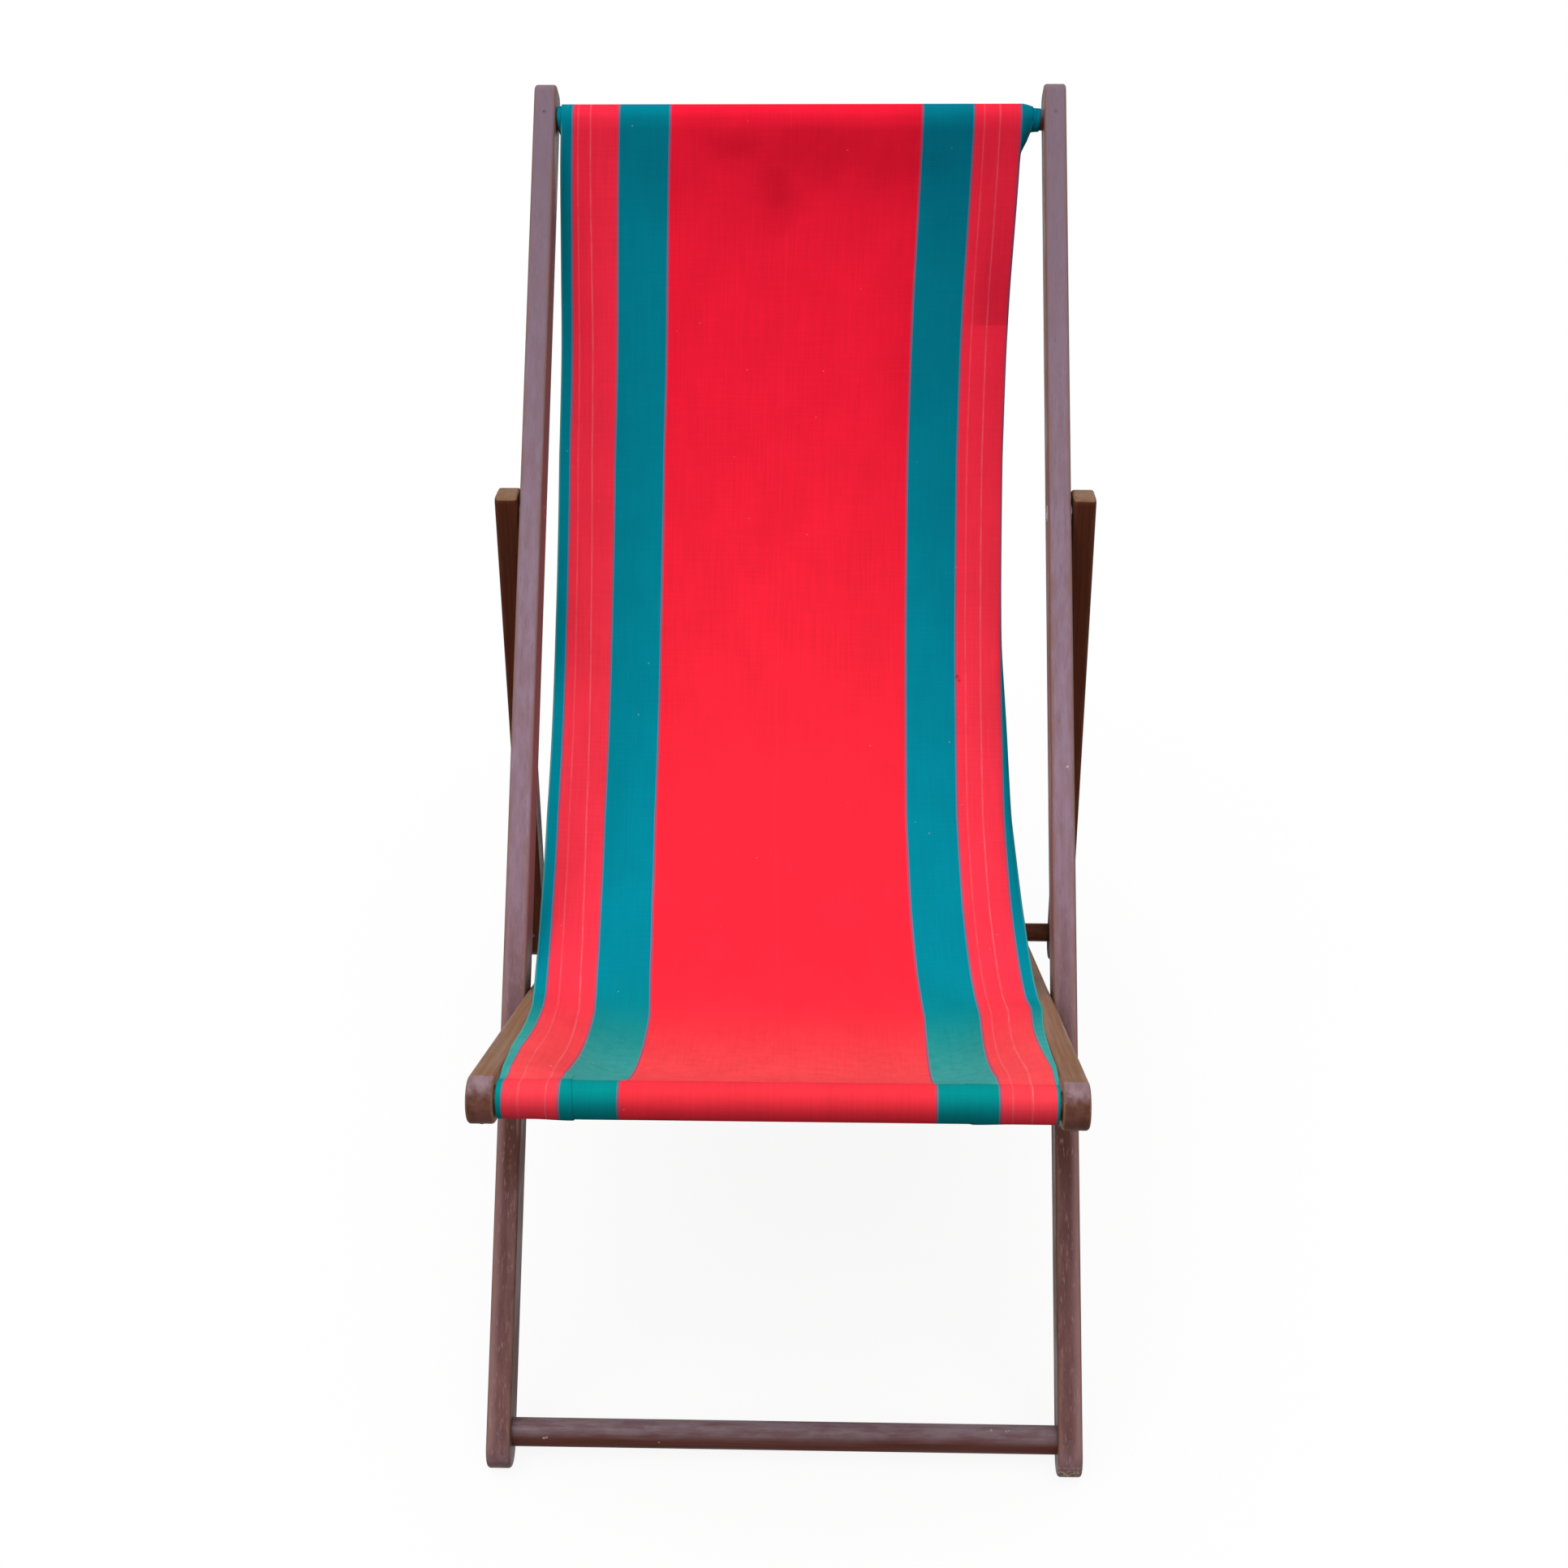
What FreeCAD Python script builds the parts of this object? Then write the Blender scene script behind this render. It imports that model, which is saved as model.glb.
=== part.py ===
import FreeCAD, Part
import math
import os

from FreeCAD import Vector

os.makedirs("parts", exist_ok=True)

# Folding wooden deck chair with one canvas sling.
# Frame: +X to the sitter's left as seen from the front, -Y to the front, +Z up.
# Lengths are millimetres, angles are degrees.

# Main frame: two long rails on the floor at the front, leaning back
RAIL_THICK = 21.5
RAIL_DEPTH = 38.0
MAIN_LEAN = 42.5
MAIN_TOP_AT = 1328.0
SEAT_PIVOT_AT = 413.0
PROP_PIVOT_AT = 890.0
TOP_BAR_BELOW_TOP = 33.0
FOOT_BAR_AT = 37.0
TOP_END_ROUND = 11.0

# Seat frame: two rails inside the main rails, on the floor at the back
SEAT_SLOPE = 25.5
SEAT_FRONT_REACH = 343.0
FRONT_BAR_FROM_TIP = 17.0
REAR_BAR_FROM_FOOT = 42.0

# Prop frame: two short rails outside the main rails, its bar in the notches
PROP_THICK = 22.0
PROP_DEPTH = 34.0
PROP_HEAD = 20.0
PROP_TAIL = 30.0
PROP_TOP_ROUND = 7.0

# Round bars and the tenons that hold them
TOP_BAR_R = 10.0
FOOT_BAR_R = 12.5
PROP_BAR_R = 9.5
FRONT_BAR_R = 11.0
REAR_BAR_R = 11.0
TENON_R = 7.0
TENON_LENGTH = 16.0
MORTISE_PLAY = 0.05
MORTISE_SPARE = 0.5

# Eased edges and worn feet
EDGE_EASE = 3.0
FOOT_FLAT = 0.8

# Notches for the prop bar, cut in the upper edge of the seat rails
REST_NOTCH_AT = 289.9
NOTCH_COUNT = 3
NOTCH_PITCH = 55.0
REST_NOTCH_DEPTH = 6.0
NOTCH_PLAY = 0.5
NOTCH_SCOOP = 5.0
RACK_RISE_PER_MM = 0.03
RACK_RUN = 150.0
RACK_RUNOUT = 45.0

# Pivot hardware
SIDE_GAP = 1.5
WASHER_PLAY = 0.2
PIVOT_R = 4.0
PIVOT_PLAY = 0.06
WASHER_R = 9.5
WASHER_THICK = 1.5
NUT_ACROSS_FLATS = 13.0
NUT_THICK = 6.0
THREAD_PLAY = 0.05
BOLT_PAST_NUT = 2.0
FLUSH_HEAD_R = 7.5
FLUSH_HEAD_DEPTH = 3.5
FLUSH_HEAD_PLAY = 0.15
FLUSH_NUT_NECK_R = 5.2
SLOT_WIDTH = 1.4
SLOT_DEPTH = 1.2

# Nails that lock the bars in the rails
NAIL_R = 1.0
NAIL_HEAD_R = 1.8
NAIL_HEAD_THICK = 0.6
NAIL_PLAY = 0.05
NAIL_PAST_CENTRE = 4.0

# Canvas sling and its rolls round the top bar and the seat's front bar
CANVAS_WIDTH = 457.0
CANVAS_SIDE_GAP = 12.5
CANVAS_THICK = 1.2
TOP_ROLL_R = 15.0
FRONT_ROLL_R = 14.5
ROLL_PLAY = 0.1
CANVAS_CLEAR = 0.3
SEAT_CANVAS_CLEAR = 3.0
FRONT_ROLL_END_CLEAR = 1.0
SLING_TOP_ANGLE = 22.3
SLING_SEAT_ANGLE = 16.7
SLING_TOP_HANDLE = 755.0
SLING_SEAT_HANDLE = 313.5
SLING_STATIONS = 15
NARROW_FROM = 0.45
NARROW_TO = 0.68
CURL_WIDTH = 40.0
CURL_LIFT_TOP = 1.0
CURL_LIFT_SEAT = 11.0
CURL_LIFT_FRONT = 1.0

# Upholstery tacks under the rolls
TACK_COUNT = 7
TACK_MARGIN = 22.0
TACK_HEAD_R = 4.5
TACK_HEAD_RISE = 1.6
TACK_SHANK_R = 0.9
TACK_LENGTH = 12.0
FRONT_TACK_TURN = 50.0
TACK_PLAY = 0.05


class SideLine:
    """A line in the side plane: u runs along it and v is square to it."""

    def __init__(self, y, z, along_y, along_z, square_y, square_z):
        self.y, self.z = y, z
        self.along_y, self.along_z = along_y, along_z
        self.square_y, self.square_z = square_y, square_z

    def at(self, u, v=0.0, x=0.0):
        return Vector(
            x,
            self.y + u * self.along_y + v * self.square_y,
            self.z + u * self.along_z + v * self.square_z,
        )

    def along(self):
        return Vector(0, self.along_y, self.along_z)

    def square(self):
        return Vector(0, self.square_y, self.square_z)


# Side view: the three rail lines and the bars on them
lean = math.radians(MAIN_LEAN)
slope = math.radians(SEAT_SLOPE)
half_depth = RAIL_DEPTH / 2

main_line = SideLine(0, 0, math.sin(lean), math.cos(lean), -math.cos(lean), math.sin(lean))
seat_pivot = main_line.at(SEAT_PIVOT_AT)
prop_pivot = main_line.at(PROP_PIVOT_AT)
seat_line = SideLine(
    seat_pivot.y, seat_pivot.z, math.cos(slope), -math.sin(slope), math.sin(slope), math.cos(slope)
)

top_bar_u = MAIN_TOP_AT - TOP_BAR_BELOW_TOP
main_foot_centre_u = (half_depth - FOOT_FLAT) / math.cos(lean)
main_foot_u = main_foot_centre_u - half_depth
seat_foot_centre_u = (seat_pivot.z - half_depth + FOOT_FLAT) / math.sin(slope)
seat_foot_u = seat_foot_centre_u + half_depth
front_bar_u = -(SEAT_FRONT_REACH - FRONT_BAR_FROM_TIP)
rear_bar_u = seat_foot_centre_u - REAR_BAR_FROM_FOOT

# The prop bar rests in the first notch, which sets the prop's length and lean
prop_bar_v = half_depth - REST_NOTCH_DEPTH + PROP_BAR_R
prop_bar_place = seat_line.at(REST_NOTCH_AT, prop_bar_v)
prop_reach = prop_bar_place.distanceToPoint(prop_pivot)
prop_along = (prop_bar_place - prop_pivot).normalize()
prop_line = SideLine(
    prop_pivot.y, prop_pivot.z, prop_along.y, prop_along.z, prop_along.z, -prop_along.y
)

# Widths across the chair
main_inner_x = CANVAS_WIDTH / 2 + CANVAS_SIDE_GAP
main_outer_x = main_inner_x + RAIL_THICK
seat_outer_x = main_inner_x - SIDE_GAP
seat_inner_x = seat_outer_x - RAIL_THICK
prop_inner_x = main_outer_x + SIDE_GAP
prop_outer_x = prop_inner_x + PROP_THICK
outward = Vector(1, 0, 0)
inward = Vector(-1, 0, 0)


def rod(start, direction, length, radius):
    """A round rod from a point along a direction."""
    return Part.makeCylinder(radius, length, start, direction)


def turned(radii_and_runs, start, direction):
    """Stacked cylinders and cones along one axis: (first radius, last radius, run)."""
    pieces = []
    place = start
    for first, last, run in radii_and_runs:
        if abs(first - last) < 1e-6:
            pieces.append(Part.makeCylinder(first, run, place, direction))
        else:
            pieces.append(Part.makeCone(first, last, run, place, direction))
        place = place + direction * run
    solid = pieces[0]
    for piece in pieces[1:]:
        solid = solid.fuse(piece)
    return solid.removeSplitter()


def mirrored(shape):
    """The same piece on the other side of the chair."""
    return shape.mirror(Vector(0, 0, 0), Vector(1, 0, 0))


def corner_arc(line, u, v, turn_u, turn_v, radius, x):
    """A quarter turn round a board's corner, from its long edge to its end."""
    centre_u = u - turn_u * radius
    centre_v = v - turn_v * radius
    diagonal = radius * math.sqrt(0.5)
    return (
        line.at(centre_u, v, x),
        line.at(centre_u + turn_u * diagonal, centre_v + turn_v * diagonal, x),
        line.at(u, centre_v, x),
    )


def board(line, low_u, high_u, depth, low_round, high_round, inner_x, thick):
    """A flat board with rounded ends, eased along all its long edges."""
    half = depth / 2
    high_back = corner_arc(line, high_u, -half, 1, -1, high_round, inner_x)
    high_front = corner_arc(line, high_u, half, 1, 1, high_round, inner_x)
    low_front = corner_arc(line, low_u, half, -1, 1, low_round, inner_x)
    low_back = corner_arc(line, low_u, -half, -1, -1, low_round, inner_x)
    path = [high_back, high_front[::-1], low_front, low_back[::-1]]
    edges = []
    for index, (first, middle, last) in enumerate(path):
        edges.append(Part.Arc(first, middle, last).toShape())
        onward = path[(index + 1) % len(path)][0]
        if last.distanceToPoint(onward) > 1e-4:
            edges.append(Part.LineSegment(last, onward).toShape())
    face = Part.Face(Part.Wire(Part.__sortEdges__(edges)))
    solid = face.extrude(Vector(thick, 0, 0))
    rims = [edge for edge in solid.Edges if edge.BoundBox.XLength < 1e-4]
    return solid.makeFillet(EDGE_EASE, rims)


def below_floor():
    """A block under the floor plane, to cut the feet flat."""
    reach = MAIN_TOP_AT
    return Part.makeBox(2 * reach, 3 * reach, RAIL_DEPTH, Vector(-reach, -reach, -RAIL_DEPTH))


def bar(place, radius, between_x):
    """A round bar with a tenon at each end, shouldered on the rails' inner faces."""
    across = Vector(1, 0, 0)
    start = Vector(-between_x - TENON_LENGTH, place.y, place.z)
    runs = [
        (TENON_R, TENON_R, TENON_LENGTH),
        (radius, radius, 2 * between_x),
        (TENON_R, TENON_R, TENON_LENGTH),
    ]
    return turned(runs, start, across)


def mortise(place, inner_x):
    """The blind hole for a tenon, from a rail's inner face."""
    depth = TENON_LENGTH + MORTISE_SPARE
    start = Vector(inner_x, place.y, place.z)
    return rod(start, Vector(1, 0, 0), depth, TENON_R + MORTISE_PLAY)


def bore(place, from_x, to_x):
    """A running hole for a pivot bolt through one rail."""
    start = Vector(from_x - 1, place.y, place.z)
    return rod(start, Vector(1, 0, 0), to_x - from_x + 2, PIVOT_R + PIVOT_PLAY)


def flush_seat(face_x, place, into, neck_r):
    """The countersink for a flush head or nut in a rail's face."""
    wide = FLUSH_HEAD_R + FLUSH_HEAD_PLAY
    narrow = neck_r + FLUSH_HEAD_PLAY
    return turned([(wide, narrow, FLUSH_HEAD_DEPTH)], Vector(face_x, place.y, place.z), into)


def nail(line, u, bar_v, face_v, centre_x, grow=0.0):
    """A nail from a rail's edge through the tenon of a bar."""
    into = line.square() * (-1 if face_v > bar_v else 1)
    head_place = line.at(u, face_v, centre_x)
    shank_run = abs(face_v - bar_v) + NAIL_PAST_CENTRE
    head = rod(head_place, into, NAIL_HEAD_THICK + grow, NAIL_HEAD_R + grow)
    shank = rod(head_place, into, shank_run + grow, NAIL_R + grow)
    return head.fuse(shank).removeSplitter()


# Main frame rails
top_bar_place = main_line.at(top_bar_u)
foot_bar_place = main_line.at(FOOT_BAR_AT)
main_nail_x = main_inner_x + RAIL_THICK / 2
main_nail_spots = [top_bar_u, FOOT_BAR_AT]
main_nail_holes = [
    nail(main_line, u, 0, half_depth, main_nail_x, NAIL_PLAY) for u in main_nail_spots
]

right_main_rail = board(
    main_line, main_foot_u, MAIN_TOP_AT, RAIL_DEPTH, half_depth, TOP_END_ROUND,
    main_inner_x, RAIL_THICK,
)
right_main_rail = right_main_rail.cut(
    [
        below_floor(),
        mortise(top_bar_place, main_inner_x),
        mortise(foot_bar_place, main_inner_x),
        bore(seat_pivot, main_inner_x, main_outer_x),
        flush_seat(main_outer_x, seat_pivot, inward, PIVOT_R),
        bore(prop_pivot, main_inner_x, main_outer_x),
        flush_seat(main_inner_x, prop_pivot, outward, PIVOT_R),
    ]
    + main_nail_holes
)

# Seat frame rails with their notches
front_bar_place = seat_line.at(front_bar_u)
rear_bar_place = seat_line.at(rear_bar_u)
seat_nail_x = seat_inner_x + RAIL_THICK / 2
seat_nail_spots = [front_bar_u, rear_bar_u]
seat_nail_holes = [
    nail(seat_line, u, 0, -half_depth, seat_nail_x, NAIL_PLAY) for u in seat_nail_spots
]


def rack_cutter():
    """Removes the rest notch and the gently rising rack behind it.

    The bar rides back over the rack as the chair folds, so the rack rises no
    faster than the bar does, and each later notch is scooped below its line.
    """
    notch_r = PROP_BAR_R + NOTCH_PLAY
    low_x = seat_inner_x - 1
    above = 2 * RAIL_DEPTH
    front_reach = math.sqrt(notch_r**2 - (prop_bar_v - half_depth) ** 2)
    front_top = seat_line.at(REST_NOTCH_AT - front_reach, half_depth, low_x)
    floor_v = prop_bar_v - notch_r
    turn = math.radians(45)
    front_mid = seat_line.at(
        REST_NOTCH_AT - notch_r * math.sin(turn), prop_bar_v - notch_r * math.cos(turn), low_x
    )
    notch_floor = seat_line.at(REST_NOTCH_AT, floor_v, low_x)
    rack_end_v = floor_v + RACK_RUN * RACK_RISE_PER_MM
    rack_end = seat_line.at(REST_NOTCH_AT + RACK_RUN, rack_end_v, low_x)
    runout = seat_line.at(REST_NOTCH_AT + RACK_RUN + RACK_RUNOUT, half_depth, low_x)
    far = seat_line.at(REST_NOTCH_AT + RACK_RUN + RACK_RUNOUT, above, low_x)
    near = seat_line.at(REST_NOTCH_AT - front_reach, above, low_x)
    corners = [notch_floor, rack_end, runout, far, near, front_top]
    edges = [Part.Arc(front_top, front_mid, notch_floor).toShape()]
    edges += [Part.LineSegment(a, b).toShape() for a, b in zip(corners, corners[1:])]
    blank = Part.Face(Part.Wire(edges)).extrude(Vector(RAIL_THICK + 2, 0, 0))
    scoops = []
    for index in range(1, NOTCH_COUNT):
        u = REST_NOTCH_AT + index * NOTCH_PITCH
        v = floor_v + index * NOTCH_PITCH * RACK_RISE_PER_MM - NOTCH_SCOOP + notch_r
        scoops.append(rod(seat_line.at(u, v, low_x), Vector(1, 0, 0), RAIL_THICK + 2, notch_r))
    return [blank] + scoops


right_seat_rail = board(
    seat_line, -SEAT_FRONT_REACH, seat_foot_u, RAIL_DEPTH, half_depth, half_depth,
    seat_inner_x, RAIL_THICK,
)
right_seat_rail = right_seat_rail.cut(
    [
        below_floor(),
        mortise(front_bar_place, seat_inner_x),
        mortise(rear_bar_place, seat_inner_x),
        bore(seat_pivot, seat_inner_x, seat_outer_x),
    ]
    + rack_cutter()
    + seat_nail_holes
)

# Prop frame rails
prop_nail_x = prop_inner_x + PROP_THICK / 2
prop_nail_hole = nail(prop_line, prop_reach, 0, PROP_DEPTH / 2, prop_nail_x, NAIL_PLAY)
right_prop_rail = board(
    prop_line, -PROP_HEAD, prop_reach + PROP_TAIL, PROP_DEPTH, PROP_TOP_ROUND, PROP_DEPTH / 2,
    prop_inner_x, PROP_THICK,
)
right_prop_rail = right_prop_rail.cut(
    [
        mortise(prop_bar_place, prop_inner_x),
        bore(prop_pivot, prop_inner_x, prop_outer_x),
        flush_seat(prop_outer_x, prop_pivot, inward, FLUSH_NUT_NECK_R),
        prop_nail_hole,
    ]
)

# Bars, each drilled for the nails that lock it
def drilled(bar_solid, holes):
    """A bar with its nail holes on both sides of the chair."""
    return bar_solid.cut(holes + [mirrored(hole) for hole in holes])


top_bar = drilled(bar(top_bar_place, TOP_BAR_R, main_inner_x), main_nail_holes[:1])
foot_bar = drilled(bar(foot_bar_place, FOOT_BAR_R, main_inner_x), main_nail_holes[1:])
seat_front_bar = drilled(bar(front_bar_place, FRONT_BAR_R, seat_inner_x), seat_nail_holes[:1])
seat_rear_bar = drilled(bar(rear_bar_place, REAR_BAR_R, seat_inner_x), seat_nail_holes[1:])
prop_bar = drilled(bar(prop_bar_place, PROP_BAR_R, prop_inner_x), [prop_nail_hole])

main_nails = [nail(main_line, u, 0, half_depth, main_nail_x) for u in main_nail_spots]
seat_nails = [nail(seat_line, u, 0, -half_depth, seat_nail_x) for u in seat_nail_spots]
prop_nails = [nail(prop_line, prop_reach, 0, PROP_DEPTH / 2, prop_nail_x)]


def both_sides(solids):
    """A group of small pieces, repeated on the other side."""
    return Part.makeCompound(solids + [mirrored(solid) for solid in solids])


def hexagon(start, direction, thick):
    """A hexagonal nut blank with its pivot hole."""
    reach = NUT_ACROSS_FLATS / math.sqrt(3)
    corners = []
    for step in range(7):
        angle = math.radians(60 * step)
        corners.append(start + Vector(0, reach * math.cos(angle), reach * math.sin(angle)))
    blank = Part.Face(Part.makePolygon(corners)).extrude(direction * thick)
    return blank.cut(rod(start, direction, thick, PIVOT_R + THREAD_PLAY))


def washer(start, direction, thick):
    """A plain washer on a pivot bolt."""
    disc = rod(start, direction, thick, WASHER_R)
    return disc.cut(rod(start, direction, thick, PIVOT_R + THREAD_PLAY))


def dome(place, direction, base_r, rise):
    """A low domed cap on a flat: a circle's arc turned about the cap's axis."""
    ball_r = (base_r**2 + rise**2) / (2 * rise)
    half_turn = math.asin(base_r / ball_r) / 2
    across = direction.cross(Vector(1, 0, 0))
    if across.Length < 0.5:
        across = Vector(0, 0, 1)
    across.normalize()
    middle = place + direction * (rise - ball_r + ball_r * math.cos(half_turn))
    middle = middle + across * ball_r * math.sin(half_turn)
    crown = place + direction * rise
    rim = place + across * base_r
    edges = [
        Part.Arc(crown, middle, rim).toShape(),
        Part.LineSegment(rim, place).toShape(),
        Part.LineSegment(place, crown).toShape(),
    ]
    return Part.Face(Part.Wire(edges)).revolve(place, direction, 360)


def driver_slot(place, into):
    """The screwdriver slot across a flush head's face."""
    reach = FLUSH_HEAD_R + 1
    low_x = min(place.x, place.x + into.x * SLOT_DEPTH)
    corner = Vector(low_x, place.y - reach, place.z - SLOT_WIDTH / 2)
    return Part.makeBox(SLOT_DEPTH, 2 * reach, SLOT_WIDTH, corner)


def flush_bolt(start, direction, run):
    """A slotted flush head and its shank, from the head's face."""
    runs = [(FLUSH_HEAD_R, PIVOT_R, FLUSH_HEAD_DEPTH), (PIVOT_R, PIVOT_R, run - FLUSH_HEAD_DEPTH)]
    return turned(runs, start, direction).cut(driver_slot(start, direction))


# Seat pivots: a bolt flush in the main rail's outer face, nut inside the seat rail
seat_bolt_start = Vector(main_outer_x, seat_pivot.y, seat_pivot.z)
seat_nut_x = seat_inner_x - WASHER_PLAY - WASHER_THICK
seat_bolt_run = main_outer_x - seat_nut_x + NUT_THICK + BOLT_PAST_NUT
right_seat_pivot_bolt = flush_bolt(seat_bolt_start, inward, seat_bolt_run)
spacer_thick = SIDE_GAP - 2 * WASHER_PLAY
seat_spacer = washer(
    Vector(main_inner_x - WASHER_PLAY, seat_pivot.y, seat_pivot.z), inward, spacer_thick
)
seat_inner_washer = washer(
    Vector(seat_inner_x - WASHER_PLAY, seat_pivot.y, seat_pivot.z), inward, WASHER_THICK
)
seat_nut = hexagon(Vector(seat_nut_x, seat_pivot.y, seat_pivot.z), inward, NUT_THICK)

# Prop pivots: a bolt flush in the main rail's inner face, ring nut flush in the prop
prop_bolt_start = Vector(main_inner_x, prop_pivot.y, prop_pivot.z)
right_prop_pivot_bolt = flush_bolt(prop_bolt_start, outward, prop_outer_x - main_inner_x)
prop_spacer = washer(
    Vector(main_outer_x + WASHER_PLAY, prop_pivot.y, prop_pivot.z), outward, spacer_thick
)
prop_nut_place = Vector(prop_outer_x, prop_pivot.y, prop_pivot.z)
prop_flush_nut = turned(
    [(FLUSH_HEAD_R, FLUSH_NUT_NECK_R, FLUSH_HEAD_DEPTH)], prop_nut_place, inward
).cut(
    [
        rod(prop_nut_place, inward, FLUSH_HEAD_DEPTH, PIVOT_R + THREAD_PLAY),
        driver_slot(prop_nut_place, inward),
    ]
)

# Canvas rolls round the top bar and the seat's front bar
half_canvas = CANVAS_WIDTH / 2
front_half_canvas = seat_inner_x - FRONT_ROLL_END_CLEAR


def roll(place, bar_r, roll_r, half_width):
    """Canvas wound round a bar, as one thick sleeve."""
    start = Vector(-half_width, place.y, place.z)
    sleeve = rod(start, outward, 2 * half_width, roll_r)
    return sleeve.cut(rod(start, outward, 2 * half_width, bar_r + ROLL_PLAY))


def tack(place, direction, grow=0.0):
    """A domed upholstery tack driven inwards from a roll's surface."""
    head = dome(place, direction, TACK_HEAD_R + grow, TACK_HEAD_RISE + grow)
    shank = rod(place, direction * -1, TACK_LENGTH + grow, TACK_SHANK_R + grow)
    return head.fuse(shank)


def tack_row(place, direction, roll_r, half_width, grow=0.0):
    """A row of tacks at an even pitch along a roll."""
    span = 2 * (half_width - TACK_MARGIN)
    sink = roll_r - math.sqrt(roll_r**2 - TACK_HEAD_R**2)
    seat = place + direction * (roll_r - sink)
    row = []
    for index in range(TACK_COUNT):
        x = -span / 2 + span * index / (TACK_COUNT - 1)
        row.append(tack(seat + Vector(x, 0, 0), direction, grow))
    return row


top_tack_way = main_line.square() * -1
tack_turn = math.radians(FRONT_TACK_TURN)
front_tack_way = seat_line.along() * math.sin(tack_turn) - seat_line.square() * math.cos(tack_turn)
top_tacks = tack_row(top_bar_place, top_tack_way, TOP_ROLL_R, half_canvas)
front_tacks = tack_row(front_bar_place, front_tack_way, FRONT_ROLL_R, front_half_canvas)
top_tack_holes = tack_row(top_bar_place, top_tack_way, TOP_ROLL_R, half_canvas, TACK_PLAY)
front_tack_holes = tack_row(
    front_bar_place, front_tack_way, FRONT_ROLL_R, front_half_canvas, TACK_PLAY
)
top_canvas_roll = roll(top_bar_place, TOP_BAR_R, TOP_ROLL_R, half_canvas).cut(top_tack_holes)
front_canvas_roll = roll(front_bar_place, FRONT_BAR_R, FRONT_ROLL_R, front_half_canvas).cut(
    front_tack_holes
)
top_bar = top_bar.cut(top_tack_holes)
seat_front_bar = seat_front_bar.cut(front_tack_holes)


def sling_curve():
    """The four control points of the sling's side view.

    The canvas leaves the top roll and the front roll along their tangents, at
    the stated angles to the rails, and hangs in one cubic curve between them.
    """
    top_angle = math.radians(SLING_TOP_ANGLE)
    seat_angle = math.radians(SLING_SEAT_ANGLE)
    down = main_line.along() * -math.cos(top_angle) - main_line.square() * math.sin(top_angle)
    front_of_down = main_line.square() * math.cos(top_angle) - main_line.along() * math.sin(
        top_angle
    )
    back = seat_line.along() * math.cos(seat_angle) - seat_line.square() * math.sin(seat_angle)
    above_back = seat_line.square() * math.cos(seat_angle) + seat_line.along() * math.sin(
        seat_angle
    )
    off_roll = CANVAS_CLEAR + CANVAS_THICK / 2
    start = top_bar_place + front_of_down * (TOP_ROLL_R + off_roll)
    finish = front_bar_place + above_back * (FRONT_ROLL_R + off_roll)
    return [start, start + down * SLING_TOP_HANDLE, finish + back * SLING_SEAT_HANDLE, finish]


def smooth(value, low, high):
    """Nought below low, one above high and a smooth step between."""
    part = min(1.0, max(0.0, (value - low) / (high - low)))
    return part * part * (3 - 2 * part)


def sling_section(points, t):
    """One closed cross-section: a flat middle and edges that curl up."""
    a, b, c, d = points
    s = 1 - t
    middle = a * s**3 + b * (3 * s * s * t) + c * (3 * s * t * t) + d * t**3
    travel = ((b - a) * (s * s) + (c - b) * (2 * s * t) + (d - c) * (t * t)).normalize()
    up = travel.cross(Vector(1, 0, 0))
    narrowing = smooth(t, NARROW_FROM, NARROW_TO)
    seat_half = seat_inner_x - SEAT_CANVAS_CLEAR
    half = half_canvas + (seat_half - half_canvas) * narrowing
    near_front = smooth(t, NARROW_TO, 1.0)
    lift = CURL_LIFT_TOP + (CURL_LIFT_SEAT - CURL_LIFT_TOP) * narrowing
    lift += (CURL_LIFT_FRONT - CURL_LIFT_SEAT) * near_front
    flat = half - CURL_WIDTH
    curl_r = (CURL_WIDTH**2 + lift**2) / (2 * lift)
    full_turn = math.asin(CURL_WIDTH / curl_r)

    def curl_point(side, offset, share):
        angle = full_turn * share
        x = flat + (curl_r - offset) * math.sin(angle)
        rise = curl_r - (curl_r - offset) * math.cos(angle)
        return middle + Vector(side * x, 0, 0) + up * rise

    under, over = -CANVAS_THICK / 2, CANVAS_THICK / 2
    left_under = [curl_point(-1, under, share) for share in (1, 0.5, 0)]
    right_under = [curl_point(1, under, share) for share in (0, 0.5, 1)]
    right_over = [curl_point(1, over, share) for share in (1, 0.5, 0)]
    left_over = [curl_point(-1, over, share) for share in (0, 0.5, 1)]
    edges = [
        Part.Arc(*left_under).toShape(),
        Part.LineSegment(left_under[-1], right_under[0]).toShape(),
        Part.Arc(*right_under).toShape(),
        Part.LineSegment(right_under[-1], right_over[0]).toShape(),
        Part.Arc(*right_over).toShape(),
        Part.LineSegment(right_over[-1], left_over[0]).toShape(),
        Part.Arc(*left_over).toShape(),
        Part.LineSegment(left_over[-1], left_under[0]).toShape(),
    ]
    return Part.Wire(edges)


sling_points = sling_curve()
sections = [
    sling_section(sling_points, index / (SLING_STATIONS - 1)) for index in range(SLING_STATIONS)
]
sling = Part.makeLoft(sections, True, False)

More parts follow.
